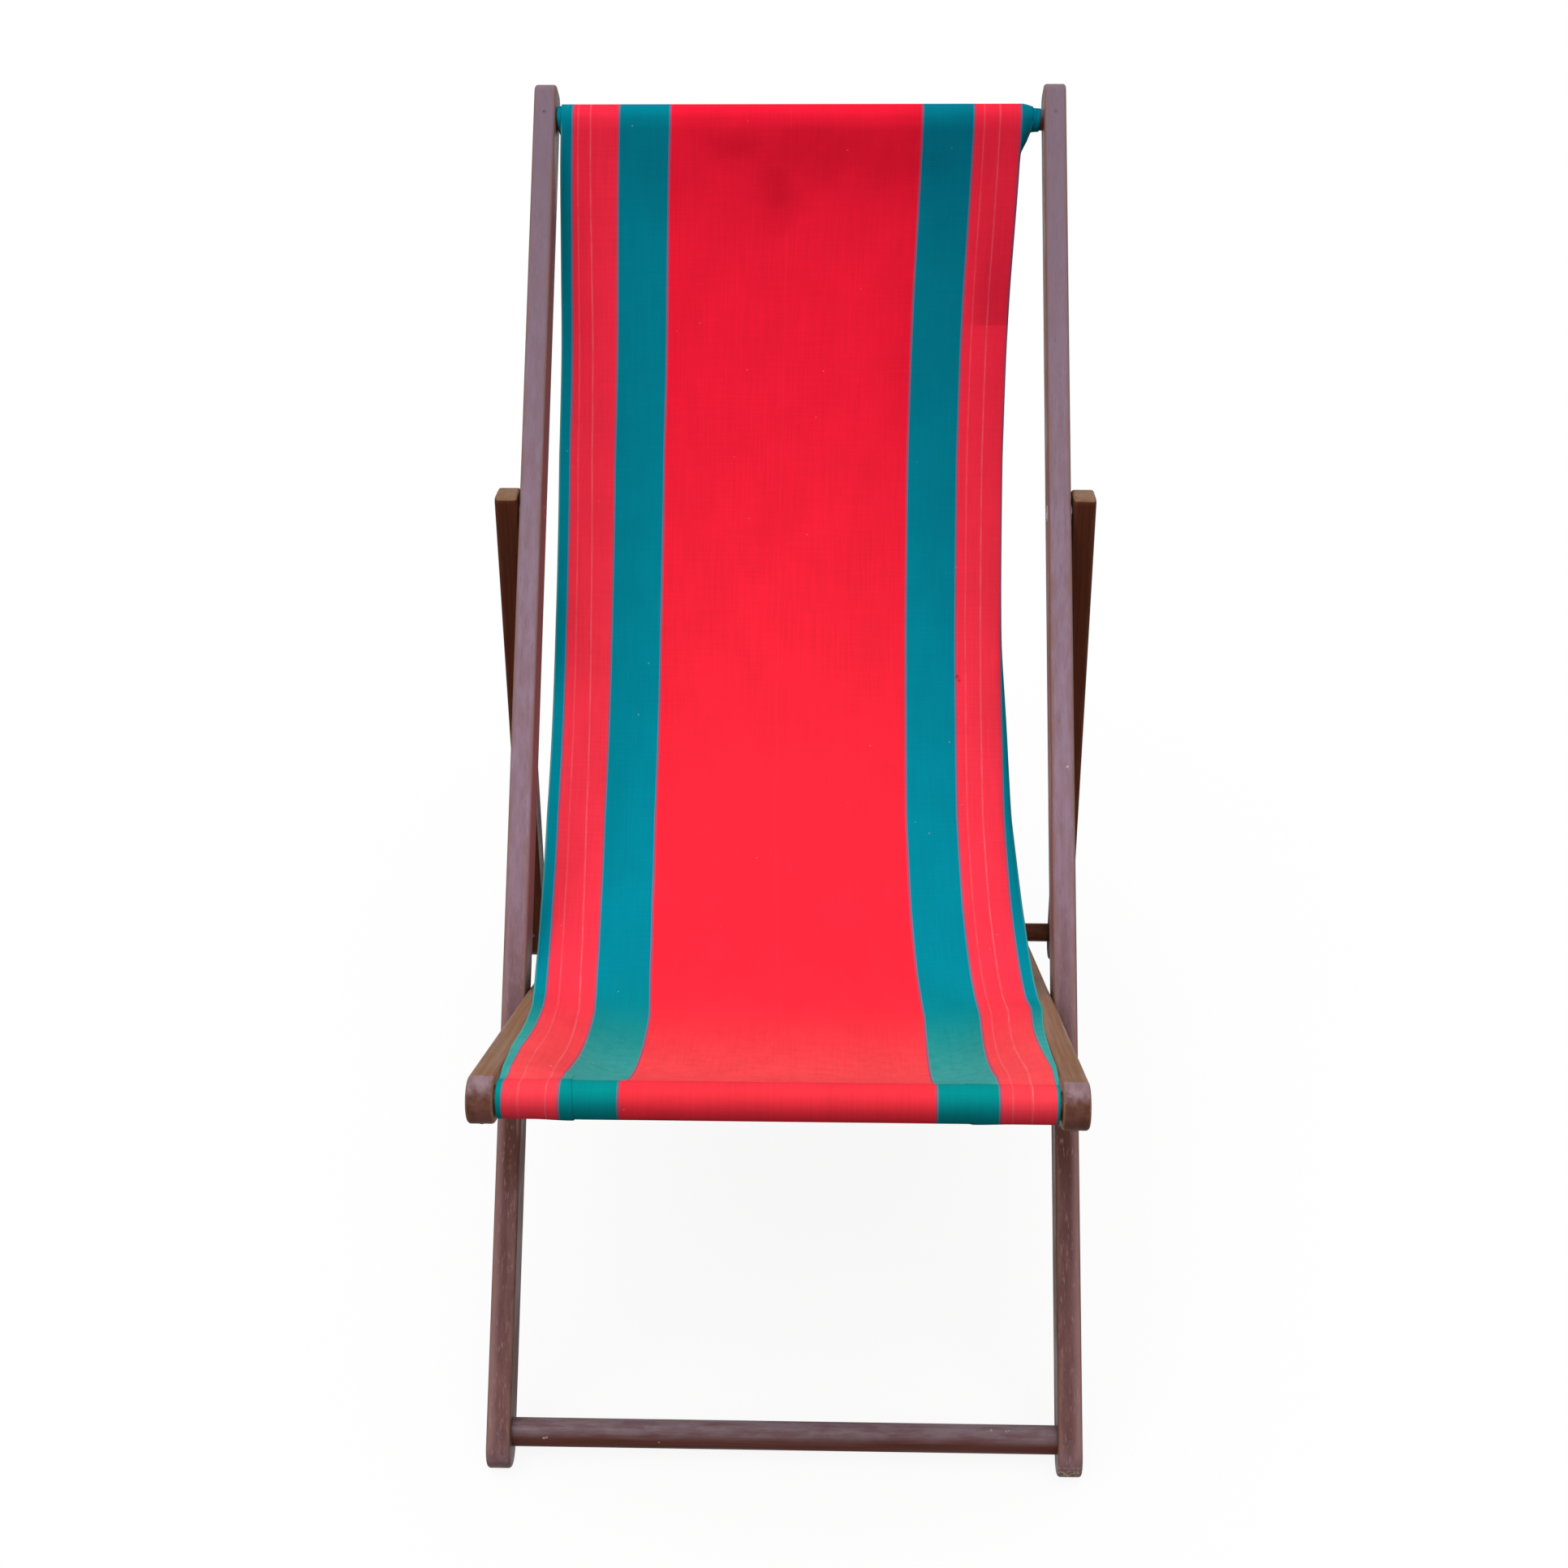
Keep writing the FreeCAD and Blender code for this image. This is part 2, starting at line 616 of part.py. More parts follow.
# Every node of the chair, in its own file
nodes = {
    "left_main_rail": mirrored(right_main_rail),
    "right_main_rail": right_main_rail,
    "top_bar": top_bar,
    "foot_bar": foot_bar,
    "main_bar_nails": both_sides(main_nails),
    "left_seat_rail": mirrored(right_seat_rail),
    "right_seat_rail": right_seat_rail,
    "seat_front_bar": seat_front_bar,
    "seat_rear_bar": seat_rear_bar,
    "seat_bar_nails": both_sides(seat_nails),
    "left_prop_rail": mirrored(right_prop_rail),
    "right_prop_rail": right_prop_rail,
    "prop_bar": prop_bar,
    "prop_bar_nails": both_sides(prop_nails),
    "left_seat_pivot_bolt": mirrored(right_seat_pivot_bolt),
    "right_seat_pivot_bolt": right_seat_pivot_bolt,
    "seat_pivot_spacers": both_sides([seat_spacer]),
    "seat_pivot_washers": both_sides([seat_inner_washer]),
    "seat_pivot_nuts": both_sides([seat_nut]),
    "left_prop_pivot_bolt": mirrored(right_prop_pivot_bolt),
    "right_prop_pivot_bolt": right_prop_pivot_bolt,
    "prop_pivot_spacers": both_sides([prop_spacer]),
    "prop_pivot_flush_nuts": both_sides([prop_flush_nut]),
    "sling": sling,
    "top_canvas_roll": top_canvas_roll,
    "front_canvas_roll": front_canvas_roll,
    "top_roll_tacks": Part.makeCompound(top_tacks),
    "front_roll_tacks": Part.makeCompound(front_tacks),
}

# The origin is the middle of the chair's box, on the floor
whole = Part.makeCompound(list(nodes.values()))
box = whole.optimalBoundingBox(False)
centre = Vector(0, (box.YMin + box.YMax) / 2, 0)

for name, shape in nodes.items():
    shape.translate(centre * -1)
    shape.exportStep("parts/" + name + ".step")

for name, place in (
    ("seat pivot", seat_pivot),
    ("prop pivot", prop_pivot),
    ("prop bar", prop_bar_place),
    ("top bar", top_bar_place),
    ("front bar", front_bar_place),
):
    moved = place - centre
    print(name, "y", round(moved.y, 4), "z", round(moved.z, 4))
print("box", round(box.XLength, 2), round(box.YLength, 2), round(box.ZLength, 2))
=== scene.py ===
"""A folding deck chair: three varnished wooden frames and one striped canvas sling.

Lengths are metres and angles radians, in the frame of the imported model.
"""

import math

import bpy
import numpy as np
from mathutils import Matrix, Vector


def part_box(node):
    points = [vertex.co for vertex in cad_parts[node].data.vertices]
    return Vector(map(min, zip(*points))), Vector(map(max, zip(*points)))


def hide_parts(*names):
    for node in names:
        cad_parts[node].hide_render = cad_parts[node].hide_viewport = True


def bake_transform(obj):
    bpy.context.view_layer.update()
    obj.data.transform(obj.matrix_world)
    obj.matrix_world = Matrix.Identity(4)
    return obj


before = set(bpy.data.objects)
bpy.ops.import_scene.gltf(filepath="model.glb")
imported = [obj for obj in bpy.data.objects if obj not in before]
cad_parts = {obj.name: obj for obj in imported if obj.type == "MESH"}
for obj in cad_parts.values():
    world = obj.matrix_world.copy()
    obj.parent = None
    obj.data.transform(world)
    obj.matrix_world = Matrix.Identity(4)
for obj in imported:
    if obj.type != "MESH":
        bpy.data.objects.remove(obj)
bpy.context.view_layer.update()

# Side view of the chair, as in the part's source
MAIN_LEAN = math.radians(42.5)
SEAT_SLOPE = math.radians(25.5)
RAIL_HALF_DEPTH = 0.019
RAIL_HALF_THICK = 0.01075
PROP_HALF_DEPTH = 0.017
PROP_HALF_THICK = 0.011
SEAT_REACH = 0.343
MAIN_RAIL_X = 0.25175
SEAT_RAIL_X = 0.22875
PROP_RAIL_X = 0.275
FOOT_BAR_R = 0.0125

# The canvas: its cut, its two rolls and the curve between them
CANVAS_WIDTH = 0.457
HALF_CANVAS = CANVAS_WIDTH / 2
CANVAS_THICK = 0.0010
THREAD = 0.0008
TURN_PITCH = 0.0012
TURN_STEP = 0.0009
TOP_ROLL_R = 0.0159
FRONT_ROLL_R = 0.0154
CONE_TIP_R = 0.0106
TOP_TURNS = 3.67
FRONT_TURNS = 2.4
TOP_ANGLE = math.radians(22.3)
SEAT_ANGLE = math.radians(16.7)
TOP_HANDLE = 0.755
SEAT_HANDLE = 0.3135

# Rows of the canvas's mesh: their spacing on the sling, and on the rolls' turns
ROW_STEP = 0.010
FINE_ARC = 2.1 * math.pi
FINE_STEP = math.radians(6)
COARSE_ROWS_A_TURN = 24
CURVE_SAMPLES = 4001

# Columns of the canvas's mesh, from the middle line to the edge: where each zone starts and
# how many it has. They are close together at the pleats and at the curled edge.
COLUMN_ZONES = ((0.0, 12), (0.120, 3), (0.142, 30), (0.169, 6), (HALF_CANVAS - 0.0185, 14))

# Stripes: distances from the canvas's middle line to each border line
BORDER = 0.0015
CENTRE_RED_TO = 0.121
GREEN_TO = 0.1715
OUTER_RED_TO = 0.2155

# (y, z) up the main rails, forward and up from them, back down the seat rails and up from them
main_along = np.array([math.sin(MAIN_LEAN), math.cos(MAIN_LEAN)])
main_square = np.array([-math.cos(MAIN_LEAN), math.sin(MAIN_LEAN)])
seat_along = np.array([math.cos(SEAT_SLOPE), -math.sin(SEAT_SLOPE)])
seat_square = np.array([math.sin(SEAT_SLOPE), math.cos(SEAT_SLOPE)])


def bar_axis(node):
    """(y, z) of a round bar's axis, the middle of its box."""
    low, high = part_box(node)
    return np.array([(low.y + high.y) / 2, (low.z + high.z) / 2])


top_bar = bar_axis("top_bar")
front_bar = bar_axis("seat_front_bar")
seat_pivot = bar_axis("right_seat_pivot_bolt")
prop_pivot = bar_axis("right_prop_pivot_bolt")
prop_bar = bar_axis("prop_bar")


def smooth(value, low, high):
    """Nought below low, one above high, and 3t^2 - 2t^3 between."""
    part = np.clip((value - low) / (high - low), 0, 1)
    return part * part * (3 - 2 * part)


def eased(places, values, at, spread=0.02):
    """Straight lines through a table, rounded by a Hann window of half width spread."""
    step = spread / 10
    fine = np.arange(min(places[0], at.min()) - spread, max(places[-1], at.max()) + spread, step)
    window = np.hanning(21)
    padded = np.pad(np.interp(fine, places, values), 10, mode="edge")
    return np.interp(at, fine, np.convolve(padded, window / window.sum(), mode="valid"))


def run_lengths(points):
    """The length of a line up to each of its points."""
    return np.concatenate([[0], np.cumsum(np.linalg.norm(np.diff(points, axis=0), axis=1))])


# The canvas in side view

def roll_points(centre, radius, turns, out, ahead):
    """A spiral: angle a goes round from the leaving point at a = 0, and the radius falls by
    one pitch a turn, and by one step more over the first half turn."""
    near = np.arange(0, FINE_ARC, FINE_STEP)
    far_rows = int((turns - FINE_ARC / (2 * math.pi)) * COARSE_ROWS_A_TURN)
    angle = np.concatenate([near, np.linspace(FINE_ARC, turns * 2 * math.pi, far_rows)])
    reach = radius - TURN_PITCH * angle / (2 * math.pi) - TURN_STEP * smooth(angle, 0.3, 2.6)
    spokes = np.cos(angle)[:, None] * out + np.sin(angle)[:, None] * ahead
    return centre + reach[:, None] * spokes


def sling_points():
    """One cubic Bezier curve, tangent to both rolls, at equal steps of length."""
    down = -main_along * math.cos(TOP_ANGLE) - main_square * math.sin(TOP_ANGLE)
    out = main_square * math.cos(TOP_ANGLE) - main_along * math.sin(TOP_ANGLE)
    back = seat_along * math.cos(SEAT_ANGLE) - seat_square * math.sin(SEAT_ANGLE)
    above = seat_square * math.cos(SEAT_ANGLE) + seat_along * math.sin(SEAT_ANGLE)
    start = top_bar + out * TOP_ROLL_R
    finish = front_bar + above * FRONT_ROLL_R
    t = np.linspace(0, 1, CURVE_SAMPLES)[:, None]
    s = 1 - t
    curve = (
        start * s**3
        + 3 * (start + down * TOP_HANDLE) * s * s * t
        + 3 * (finish + back * SEAT_HANDLE) * s * t * t
        + finish * t**3
    )
    length = run_lengths(curve)
    stations = np.linspace(0, length[-1], int(length[-1] / ROW_STEP) + 1)
    line = np.stack([np.interp(stations, length, curve[:, k]) for k in (0, 1)], -1)
    top = roll_points(top_bar, TOP_ROLL_R, TOP_TURNS, out, -down)
    front = roll_points(front_bar, FRONT_ROLL_R, FRONT_TURNS, above, -back)
    return top[:0:-1], line, front[1:]


def canvas_line():
    """The canvas's middle line from its end on the top bar to its end on the front bar: its
    points, its unit normals on the sitter's side, the length of each from the top roll, and
    that length at the front roll."""
    top, line, front = sling_points()
    points = np.concatenate([top, line, front])
    lengths = run_lengths(points)
    stations = lengths - lengths[len(top)]
    travel = np.gradient(points, lengths, axis=0)
    travel /= np.linalg.norm(travel, axis=1)[:, None]
    normals = np.stack([travel[:, 1], -travel[:, 0]], -1)
    return points, normals, stations, stations[len(top) + len(line) - 1]


# The canvas across: one half from the middle line to the edge

# Its turn down over the front roll's ends
EDGE_TURN_ANGLE = 1.5
EDGE_TURN_FROM = HALF_CANVAS - 0.0042
EDGE_TURN_TO = HALF_CANVAS - 0.0012

# The backward curl of its edges: spread wide, or creased beside the edge stripe
CURL = 0.018
CREASE_FROM = 0.0138
CREASE_RUN = 0.005

# Its rise onto the seat rails
LIFT_RUN = 0.090
RAIL_LINE = 0.221
RAIL_TOP = 0.0198
STEEPEST_SINE = 0.9

# A pleat laid flat on the front roll: half its width, half its step's width and its height
PLEAT = 0.0032
PLEAT_STEP_RUN = 0.0025
PLEAT_STEP = 0.0012
PLEAT_FADE = (0.004, 0.034)
WIDE_PLEAT = 0.006

# Its edge stripe, which is gathered, and how it is drawn in to pass between the rails
EDGE_STRIPE = (OUTER_RED_TO - 0.004, OUTER_RED_TO + 0.003)
DRAWN_IN_FROM = 0.11
PASS_EASE = 0.006

# Spans of length from the top roll: it comes onto the seat rails, its right crease ends, it is
# nailed out wide, its right end is a cone, and its waves begin and end
ON_RAILS = (0.86, 0.94)
CREASE_ENDS = (0.42, 0.60)
WIDE_ENDS = (0.02, 0.25)
CONE_ENDS = (0.0, 0.02)
SLACK_BEGINS = (0.05, 0.3)
SLACK_ENDS = (0.8, 1.0)

# Spans of length from the front roll: it leaves the rails, its edges turn down, it is tucked
# into pleats, it goes onto the roll, and it is wound out of sight
OFF_RAILS = (-0.020, 0.002)
TURNS_DOWN = (-0.016, 0.010)
TUCKED = (-0.045, -0.006)
ONTO_ROLL = (-0.015, 0.03)
WOUND = (0.055, 0.095)

# How much wider it is nailed out on the top bar, and the cone: its share and where it lies
NAILED_WIDE = 0.020
CONE = 0.93
CONE_ACROSS = (0.2190, 0.2385)

# Slow waves: their height, and each one's share and angle, as radians a metre across, radians
# a metre along and radians at the start
WAVE_HEIGHT = 0.0007
WAVES = ((1.0, 31, 3.1, 0.6), (0.6, 57, -5.3, 0))

# Tables along the canvas: places from where it leaves the top roll, and values there
# How far its middle line lies towards +X
SHIFT_EASE = 0.012
SHIFTS = (
    (-0.33, -0.285, -0.235, -0.19, -0.142, -0.097, -0.045, 0, 0.04, 0.16, 0.33, 0.50, 0.70,
     0.80, 0.89, 0.96),
    (0.0072, 0.0070, 0.0035, 0.0028, -0.0068, -0.0068, -0.0025, -0.0025, -0.0040, -0.008,
     -0.012, -0.013, -0.0125, -0.0095, -0.005, 0),
)
# How tightly its edge stripes are gathered, as a share of the most
GATHERS = ((0.93, 0.976, 1.06, 1.10, 1.16, 1.21, 1.25), (0, 0.18, 0.33, 0.42, 0.7, 0.88, 1))

# The two halves. passes is how far out the edge passes, over the seat rails and then between
# them. curls is the edge's backward curl in radians, and creased the share of it that is
# creased at first. gather is the most that the edge stripe narrows. pleat is the pleat's place,
# its move on the way onto the roll, and its width. pressed is how much the hidden turns narrow.
LEFT_HALF = {
    "passes": (
        (0.90, 0.95, 1.00, 1.04, 1.10, 1.15, 1.184, 1.200, 1.220),
        (0.2345, 0.2300, 0.2285, 0.2263, 0.2223, 0.2190, 0.2174, 0.2164, 0.2161),
    ),
    "curls": ((0, 0.1, 0.7, 0.85), (0, 0.25, 0.25, 0)),
    "curl_ease": 0.03,
    "creased": 0,
    "gather": 0.56,
    "pleat": (0.163, -0.004, 0.0038),
    "pressed": 0.022,
}
RIGHT_HALF = {
    "passes": (
        (0.90, 0.95, 1.02, 1.08, 1.14, 1.184, 1.202, 1.225, 1.250),
        (0.2345, 0.2272, 0.2248, 0.2232, 0.2216, 0.2196, 0.2174, 0.2166, 0.2163),
    ),
    "curls": (
        (0, 0.034, 0.12, 0.40, 0.52, 0.61, 0.69, 0.78, 0.83),
        (0, 1.7, 1.9, 2.1, 2.0, 1.5, 1.2, 0.5, 0),
    ),
    "curl_ease": 0.015,
    "creased": 1,
    "gather": 0.84,
    "pleat": (0.1425, 0.007, 0.0014),
    "pressed": 0.020,
}

# The places of the paler threads in the left outer stripe, from its outer border
PIN_PLACES = (0, 0.5, 1.22)
LEFT_PIN_A = (0.004, 0.008, 0.0125)
LEFT_PIN_B = (0.016, 0.023, 0.034)
RIGHT_PIN_A = 0.034
RIGHT_PIN_B = 0.019


def across_steps():
    """Distances from the middle line to each column of the mesh, one zone after another."""
    ends = [start for start, _ in COLUMN_ZONES[1:]] + [HALF_CANVAS]
    zones = [
        np.linspace(start, end, count + 1)[:-1] for (start, count), end in zip(COLUMN_ZONES, ends)
    ]
    return np.concatenate([*zones, [HALF_CANVAS]])


def from_front(station, end, span):
    """A smooth step over a span of length from the front roll, which starts at end."""
    return smooth(station, end + span[0], end + span[1])


def cloth_slope(away, station, end, lift, curl, crease):
    """The cloth's angle across, as a sum of three.

    The first is a smooth rise of lift onto the seat rails: over LIFT_RUN, its sine is
    6(w - w^2) lift / LIFT_RUN. The second is a backward curl, spread over the outer 18 mm or,
    by the share crease, over 5 mm beside the edge stripe. The third is nearly a quarter turn
    of the last 4 mm on the front roll.
    """
    # The rise uses up this much of the cloth's width
    used_up = 0.6 * lift**2 / LIFT_RUN
    rail_at = RAIL_LINE + used_up
    w = np.clip((away - (rail_at - LIFT_RUN)) / LIFT_RUN, 0, 1)
    sine = lift * 6 * (w - w * w) / LIFT_RUN
    rise = np.arcsin(np.clip(sine, -STEEPEST_SINE, STEEPEST_SINE))
    spread = np.clip((away - (HALF_CANVAS - CURL)) / CURL, 0, 1)
    creased = np.clip((away - (HALF_CANVAS - CREASE_FROM)) / CREASE_RUN, 0, 1)
    bend = -curl * (spread + crease * (creased - spread))
    turned = from_front(station, end, TURNS_DOWN)
    turn = -EDGE_TURN_ANGLE * turned * smooth(away, EDGE_TURN_FROM, EDGE_TURN_TO)
    return rise + bend + turn


def summed(rate, steps):
    """The running sum of a rate along each row, by the trapezium rule."""
    total = np.cumsum((rate[:, 1:] + rate[:, :-1]) / 2 * steps, axis=1)
    return np.pad(total, ((0, 0), (1, 0)))


def half_section(away, station, angle, edge_scale, pleat_at, pleat, passes):
    """Sideways place and height of one half of every row.

    They are the cosine and the sine of the cloth's angle, summed from the middle outwards,
    with the edge stripe narrowed to edge_scale. A pleat lays the outer part over the inner:
    the cloth runs back on itself by the pleat's width. Where the edge would lie too far out,
    the outer part is then drawn in to where it passes.
    """
    scale = 1 + (edge_scale - 1) * smooth(away, *EDGE_STRIPE)
    steps = np.diff(away, axis=1)
    side = summed(np.cos(angle) * scale, steps)
    height = summed(np.sin(angle) * scale, steps)
    side = side - pleat * smooth(away, pleat_at - PLEAT, pleat_at + PLEAT)
    layer = smooth(away, pleat_at - PLEAT_STEP_RUN, pleat_at + PLEAT_STEP_RUN)
    fade = 1 - smooth(away, pleat_at + PLEAT_FADE[0], pleat_at + PLEAT_FADE[1])
    passing = eased(*passes, station[:, 0], PASS_EASE)[:, None]
    excess = np.maximum(side[:, -1:] - passing, 0)
    side = side - excess * smooth(away, DRAWN_IN_FROM, HALF_CANVAS)
    return side, height + np.sqrt(pleat / WIDE_PLEAT) * PLEAT_STEP * layer * fade


def canvas_half(half, away, points, stations, end):
    """Sideways place and height of the left or the right half, with its pleat at the front."""
    station = stations[:, None]
    above_rail = (points - front_bar) @ seat_square
    on_seat = smooth(stations, *ON_RAILS) * (1 - from_front(stations, end, OFF_RAILS))
    lift = (np.maximum(RAIL_TOP - above_rail, 0) * on_seat)[:, None]
    curl = eased(*half["curls"], stations, half["curl_ease"])[:, None]
    crease = half["creased"] * (1 - smooth(station, *CREASE_ENDS))
    place, move, width = half["pleat"]
    wound = from_front(station, end, WOUND)
    side, height = half_section(
        away,
        station,
        cloth_slope(away, station, end, lift, curl, crease),
        edge_scale=1 - half["gather"] * eased(*GATHERS, stations)[:, None],
        pleat_at=place + move * from_front(station, end, ONTO_ROLL),
        pleat=width * from_front(station, end, TUCKED) * (1 - wound),
        passes=half["passes"],
    )
    return side * (1 - half["pressed"] * wound), height


def pin_distances(u, stations):
    """How far each vertex lies from the two paler warp threads of its outer red stripe."""
    left_a = -OUTER_RED_TO + np.interp(stations, PIN_PLACES, LEFT_PIN_A)
    left_b = -OUTER_RED_TO + np.interp(stations, PIN_PLACES, LEFT_PIN_B)
    pin_a = u[None, :] - np.where(u < 0, left_a[:, None], OUTER_RED_TO - RIGHT_PIN_A)
    pin_b = u[None, :] - np.where(u < 0, left_b[:, None], OUTER_RED_TO - RIGHT_PIN_B)
    return {"pin_a": pin_a, "pin_b": pin_b}


def canvas_grid(points, normals, stations, end):
    """Every vertex of the canvas and its place on the flat cloth.

    A row lies across the canvas at each point of its middle line: its two halves, side by
    side, with their heights laid off along the normal there.
    """
    station = stations[:, None]
    across = across_steps()
    away = np.broadcast_to(across, (len(stations), len(across)))
    left_x, left_height = canvas_half(LEFT_HALF, away, points, stations, end)
    right_x, right_height = canvas_half(RIGHT_HALF, away, points, stations, end)
    x = np.concatenate([-left_x[:, :0:-1], right_x], axis=1)
    height = np.concatenate([left_height[:, :0:-1], right_height], axis=1)

    # Nailed out a little wide on the top bar
    x = x * (1 + NAILED_WIDE * (1 - smooth(station, *WIDE_ENDS)))
    x = x + eased(*SHIFTS, stations, SHIFT_EASE)[:, None]

    # The top roll's right end is wound down to a cone, close to the bar
    reach = np.minimum(np.linalg.norm(points - top_bar, axis=1), TOP_ROLL_R)[:, None]
    cone = CONE * smooth(x, *CONE_ACROSS) * (1 - smooth(station, *CONE_ENDS))
    height = height - (reach - CONE_TIP_R) * cone

    # Slow waves in the slack cloth, away from the bars
    slack = smooth(station, *SLACK_BEGINS) * (1 - smooth(station, *SLACK_ENDS))
    waves = sum(share * np.sin(x * a + station * b + c) for share, a, b, c in WAVES)
    height = height + slack * WAVE_HEIGHT * waves

    grid = np.empty(x.shape + (3,))
    grid[..., 0] = x
    grid[..., 1] = points[:, 0:1] + normals[:, 0:1] * height
    grid[..., 2] = points[:, 1:2] + normals[:, 1:2] * height
    u = np.concatenate([-across[:0:-1], across])
    return grid, np.stack(np.broadcast_arrays(u[None, :], station), -1)


def sheet_mesh(name, grid, flat, values):
    """Quads over a grid of points, facing the sitter, with a UV map in metres and floats."""
    rows, columns = grid.shape[:2]
    index = np.arange(rows * columns).reshape(rows, columns)
    corners = [index[:-1, :-1], index[1:, :-1], index[1:, 1:], index[:-1, 1:]]
    quads = np.stack(corners, -1).reshape(-1, 4)
    mesh = bpy.data.meshes.new(name)
    mesh.vertices.add(rows * columns)
    mesh.vertices.foreach_set("co", grid.astype(np.float32).ravel())
    mesh.loops.add(quads.size)
    mesh.loops.foreach_set("vertex_index", quads.astype(np.int32).ravel())
    mesh.polygons.add(len(quads))
    mesh.polygons.foreach_set("loop_start", np.arange(0, quads.size, 4, dtype=np.int32))
    mesh.update(calc_edges=True)
    mesh.polygons.foreach_set("use_smooth", np.ones(len(quads), bool))
    layer = mesh.uv_layers.new(name="cloth")
    layer.data.foreach_set("uv", flat.reshape(-1, 2)[quads.ravel()].astype(np.float32).ravel())
    for key, value in values.items():
        attribute = mesh.attributes.new(key, "FLOAT", "POINT")
        attribute.data.foreach_set("value", value.astype(np.float32).ravel())
    mesh.validate()
    made = bpy.data.objects.new(name, mesh)
    bpy.context.scene.collection.objects.link(made)
    return made


# Shader helpers

def add(tree, kind, inputs=None, **settings):
    """One node; an input's value is a number, a colour or a socket to link."""
    made = tree.nodes.new(kind)
    for key, value in settings.items():
        setattr(made, key, value)
    for key, value in (inputs or {}).items():
        if isinstance(value, bpy.types.NodeSocket):
            tree.links.new(value, made.inputs[key])
        else:
            made.inputs[key].default_value = value
    return made


def maths(tree, operation, a, b=0.0, clamp=False):
    """The value of one Math node."""
    made = add(tree, "ShaderNodeMath", {0: a, 1: b}, operation=operation, use_clamp=clamp)
    return made.outputs[0]


def times(tree, a, b):
    """The product of two values."""
    return maths(tree, "MULTIPLY", a, b)


def between(tree, value, low, high, to_low=0.0, to_high=1.0):
    """A smooth step of value from low to high, as to_low to to_high."""
    made = add(
        tree,
        "ShaderNodeMapRange",
        {"Value": value, "From Min": low, "From Max": high, "To Min": to_low, "To Max": to_high},
        interpolation_type="SMOOTHSTEP",
    )
    return made.outputs["Result"]


def mix(tree, share, a, b, blend="MIX"):
    """Colour a to colour b by share."""
    made = tree.nodes.new("ShaderNodeMix")
    made.data_type = "RGBA"
    made.blend_type = blend
    made.clamp_factor = True
    for socket, value in ((made.inputs[0], share), (made.inputs[6], a), (made.inputs[7], b)):
        if isinstance(value, bpy.types.NodeSocket):
            tree.links.new(value, socket)
        elif isinstance(value, tuple):
            socket.default_value = (*value, 1)
        else:
            socket.default_value = value
    return made.outputs[2]


def noise(tree, vector, scale, detail=3.0, roughness=0.55):
    """Soft noise from nought to one."""
    inputs = {"Vector": vector, "Scale": scale, "Detail": detail, "Roughness": roughness}
    return add(tree, "ShaderNodeTexNoise", inputs).outputs["Fac"]


def vector_maths(tree, operation, a, b):
    """The outputs of one Vector Math node."""
    return add(tree, "ShaderNodeVectorMath", {0: a, 1: b}, operation=operation).outputs


def stretched(tree, vector, sizes):
    """Coordinates divided by a pattern's size on each axis."""
    return vector_maths(tree, "MULTIPLY", vector, tuple(1 / s for s in sizes))[0]


def split(tree, vector):
    """A vector's X, Y and Z."""
    return add(tree, "ShaderNodeSeparateXYZ", {0: vector}).outputs


def new_group(name, inputs, outputs):
    """An empty shader group with its named sockets, and its two end nodes."""
    tree = bpy.data.node_groups.new(name, "ShaderNodeTree")
    for way, sockets in (("INPUT", inputs), ("OUTPUT", outputs)):
        for socket, kind in sockets:
            tree.interface.new_socket(socket, in_out=way, socket_type=kind)
    return tree, tree.nodes.new("NodeGroupInput"), tree.nodes.new("NodeGroupOutput")


def use_group(tree, group, inputs):
    """Places a group in a material with its own values."""
    return add(tree, "ShaderNodeGroup", inputs, node_tree=group).outputs


FLOAT = "NodeSocketFloat"
VECTOR = "NodeSocketVector"
BOARD_SIZES = ("Centre X", "Half Depth", "Half Thick")


def grain_group():
    """Lengthwise grain along Z: broad streaks, dark pores, pale flecks, mottling and blotches."""
    outputs = [(key, FLOAT) for key in ("Streak", "Pore", "Fleck", "Mottle", "Blotch")]
    tree, start, end = new_group("wood_grain", [("Vector", VECTOR)], outputs)
    place = start.outputs["Vector"]
    warp = noise(tree, stretched(tree, place, (0.05, 0.05, 0.30)), 1.0, 2.0)
    bend = vector_maths(tree, "ADD", place, (0.004, 0.004, 0.0))[0]
    wander = add(
        tree, "ShaderNodeMix", {0: warp, 4: place, 5: bend}, data_type="VECTOR"
    ).outputs[1]
    broad = noise(tree, stretched(tree, wander, (0.0045, 0.0045, 0.21)), 1.0, 4.0, 0.6)
    fine = noise(tree, stretched(tree, wander, (0.0011, 0.0011, 0.045)), 1.0, 3.0, 0.6)
    pores = noise(tree, stretched(tree, wander, (0.0007, 0.0007, 0.012)), 1.0, 2.0, 0.5)
    streak = maths(tree, "ADD", times(tree, broad, 0.65), times(tree, fine, 0.35))
    tree.links.new(between(tree, streak, 0.36, 0.64), end.inputs["Streak"])
    tree.links.new(between(tree, pores, 0.60, 0.74), end.inputs["Pore"])
    flecks = noise(tree, stretched(tree, wander, (0.0016, 0.0016, 0.009)), 1.0, 3.0, 0.6)
    tree.links.new(between(tree, flecks, 0.56, 0.72), end.inputs["Fleck"])
    mottle = noise(tree, stretched(tree, place, (0.007, 0.007, 0.030)), 1.0, 4.0, 0.62)
    tree.links.new(between(tree, mottle, 0.34, 0.66), end.inputs["Mottle"])
    slow = noise(tree, stretched(tree, place, (0.03, 0.03, 0.09)), 1.0, 3.0)
    tree.links.new(between(tree, slow, 0.35, 0.68), end.inputs["Blotch"])
    return tree


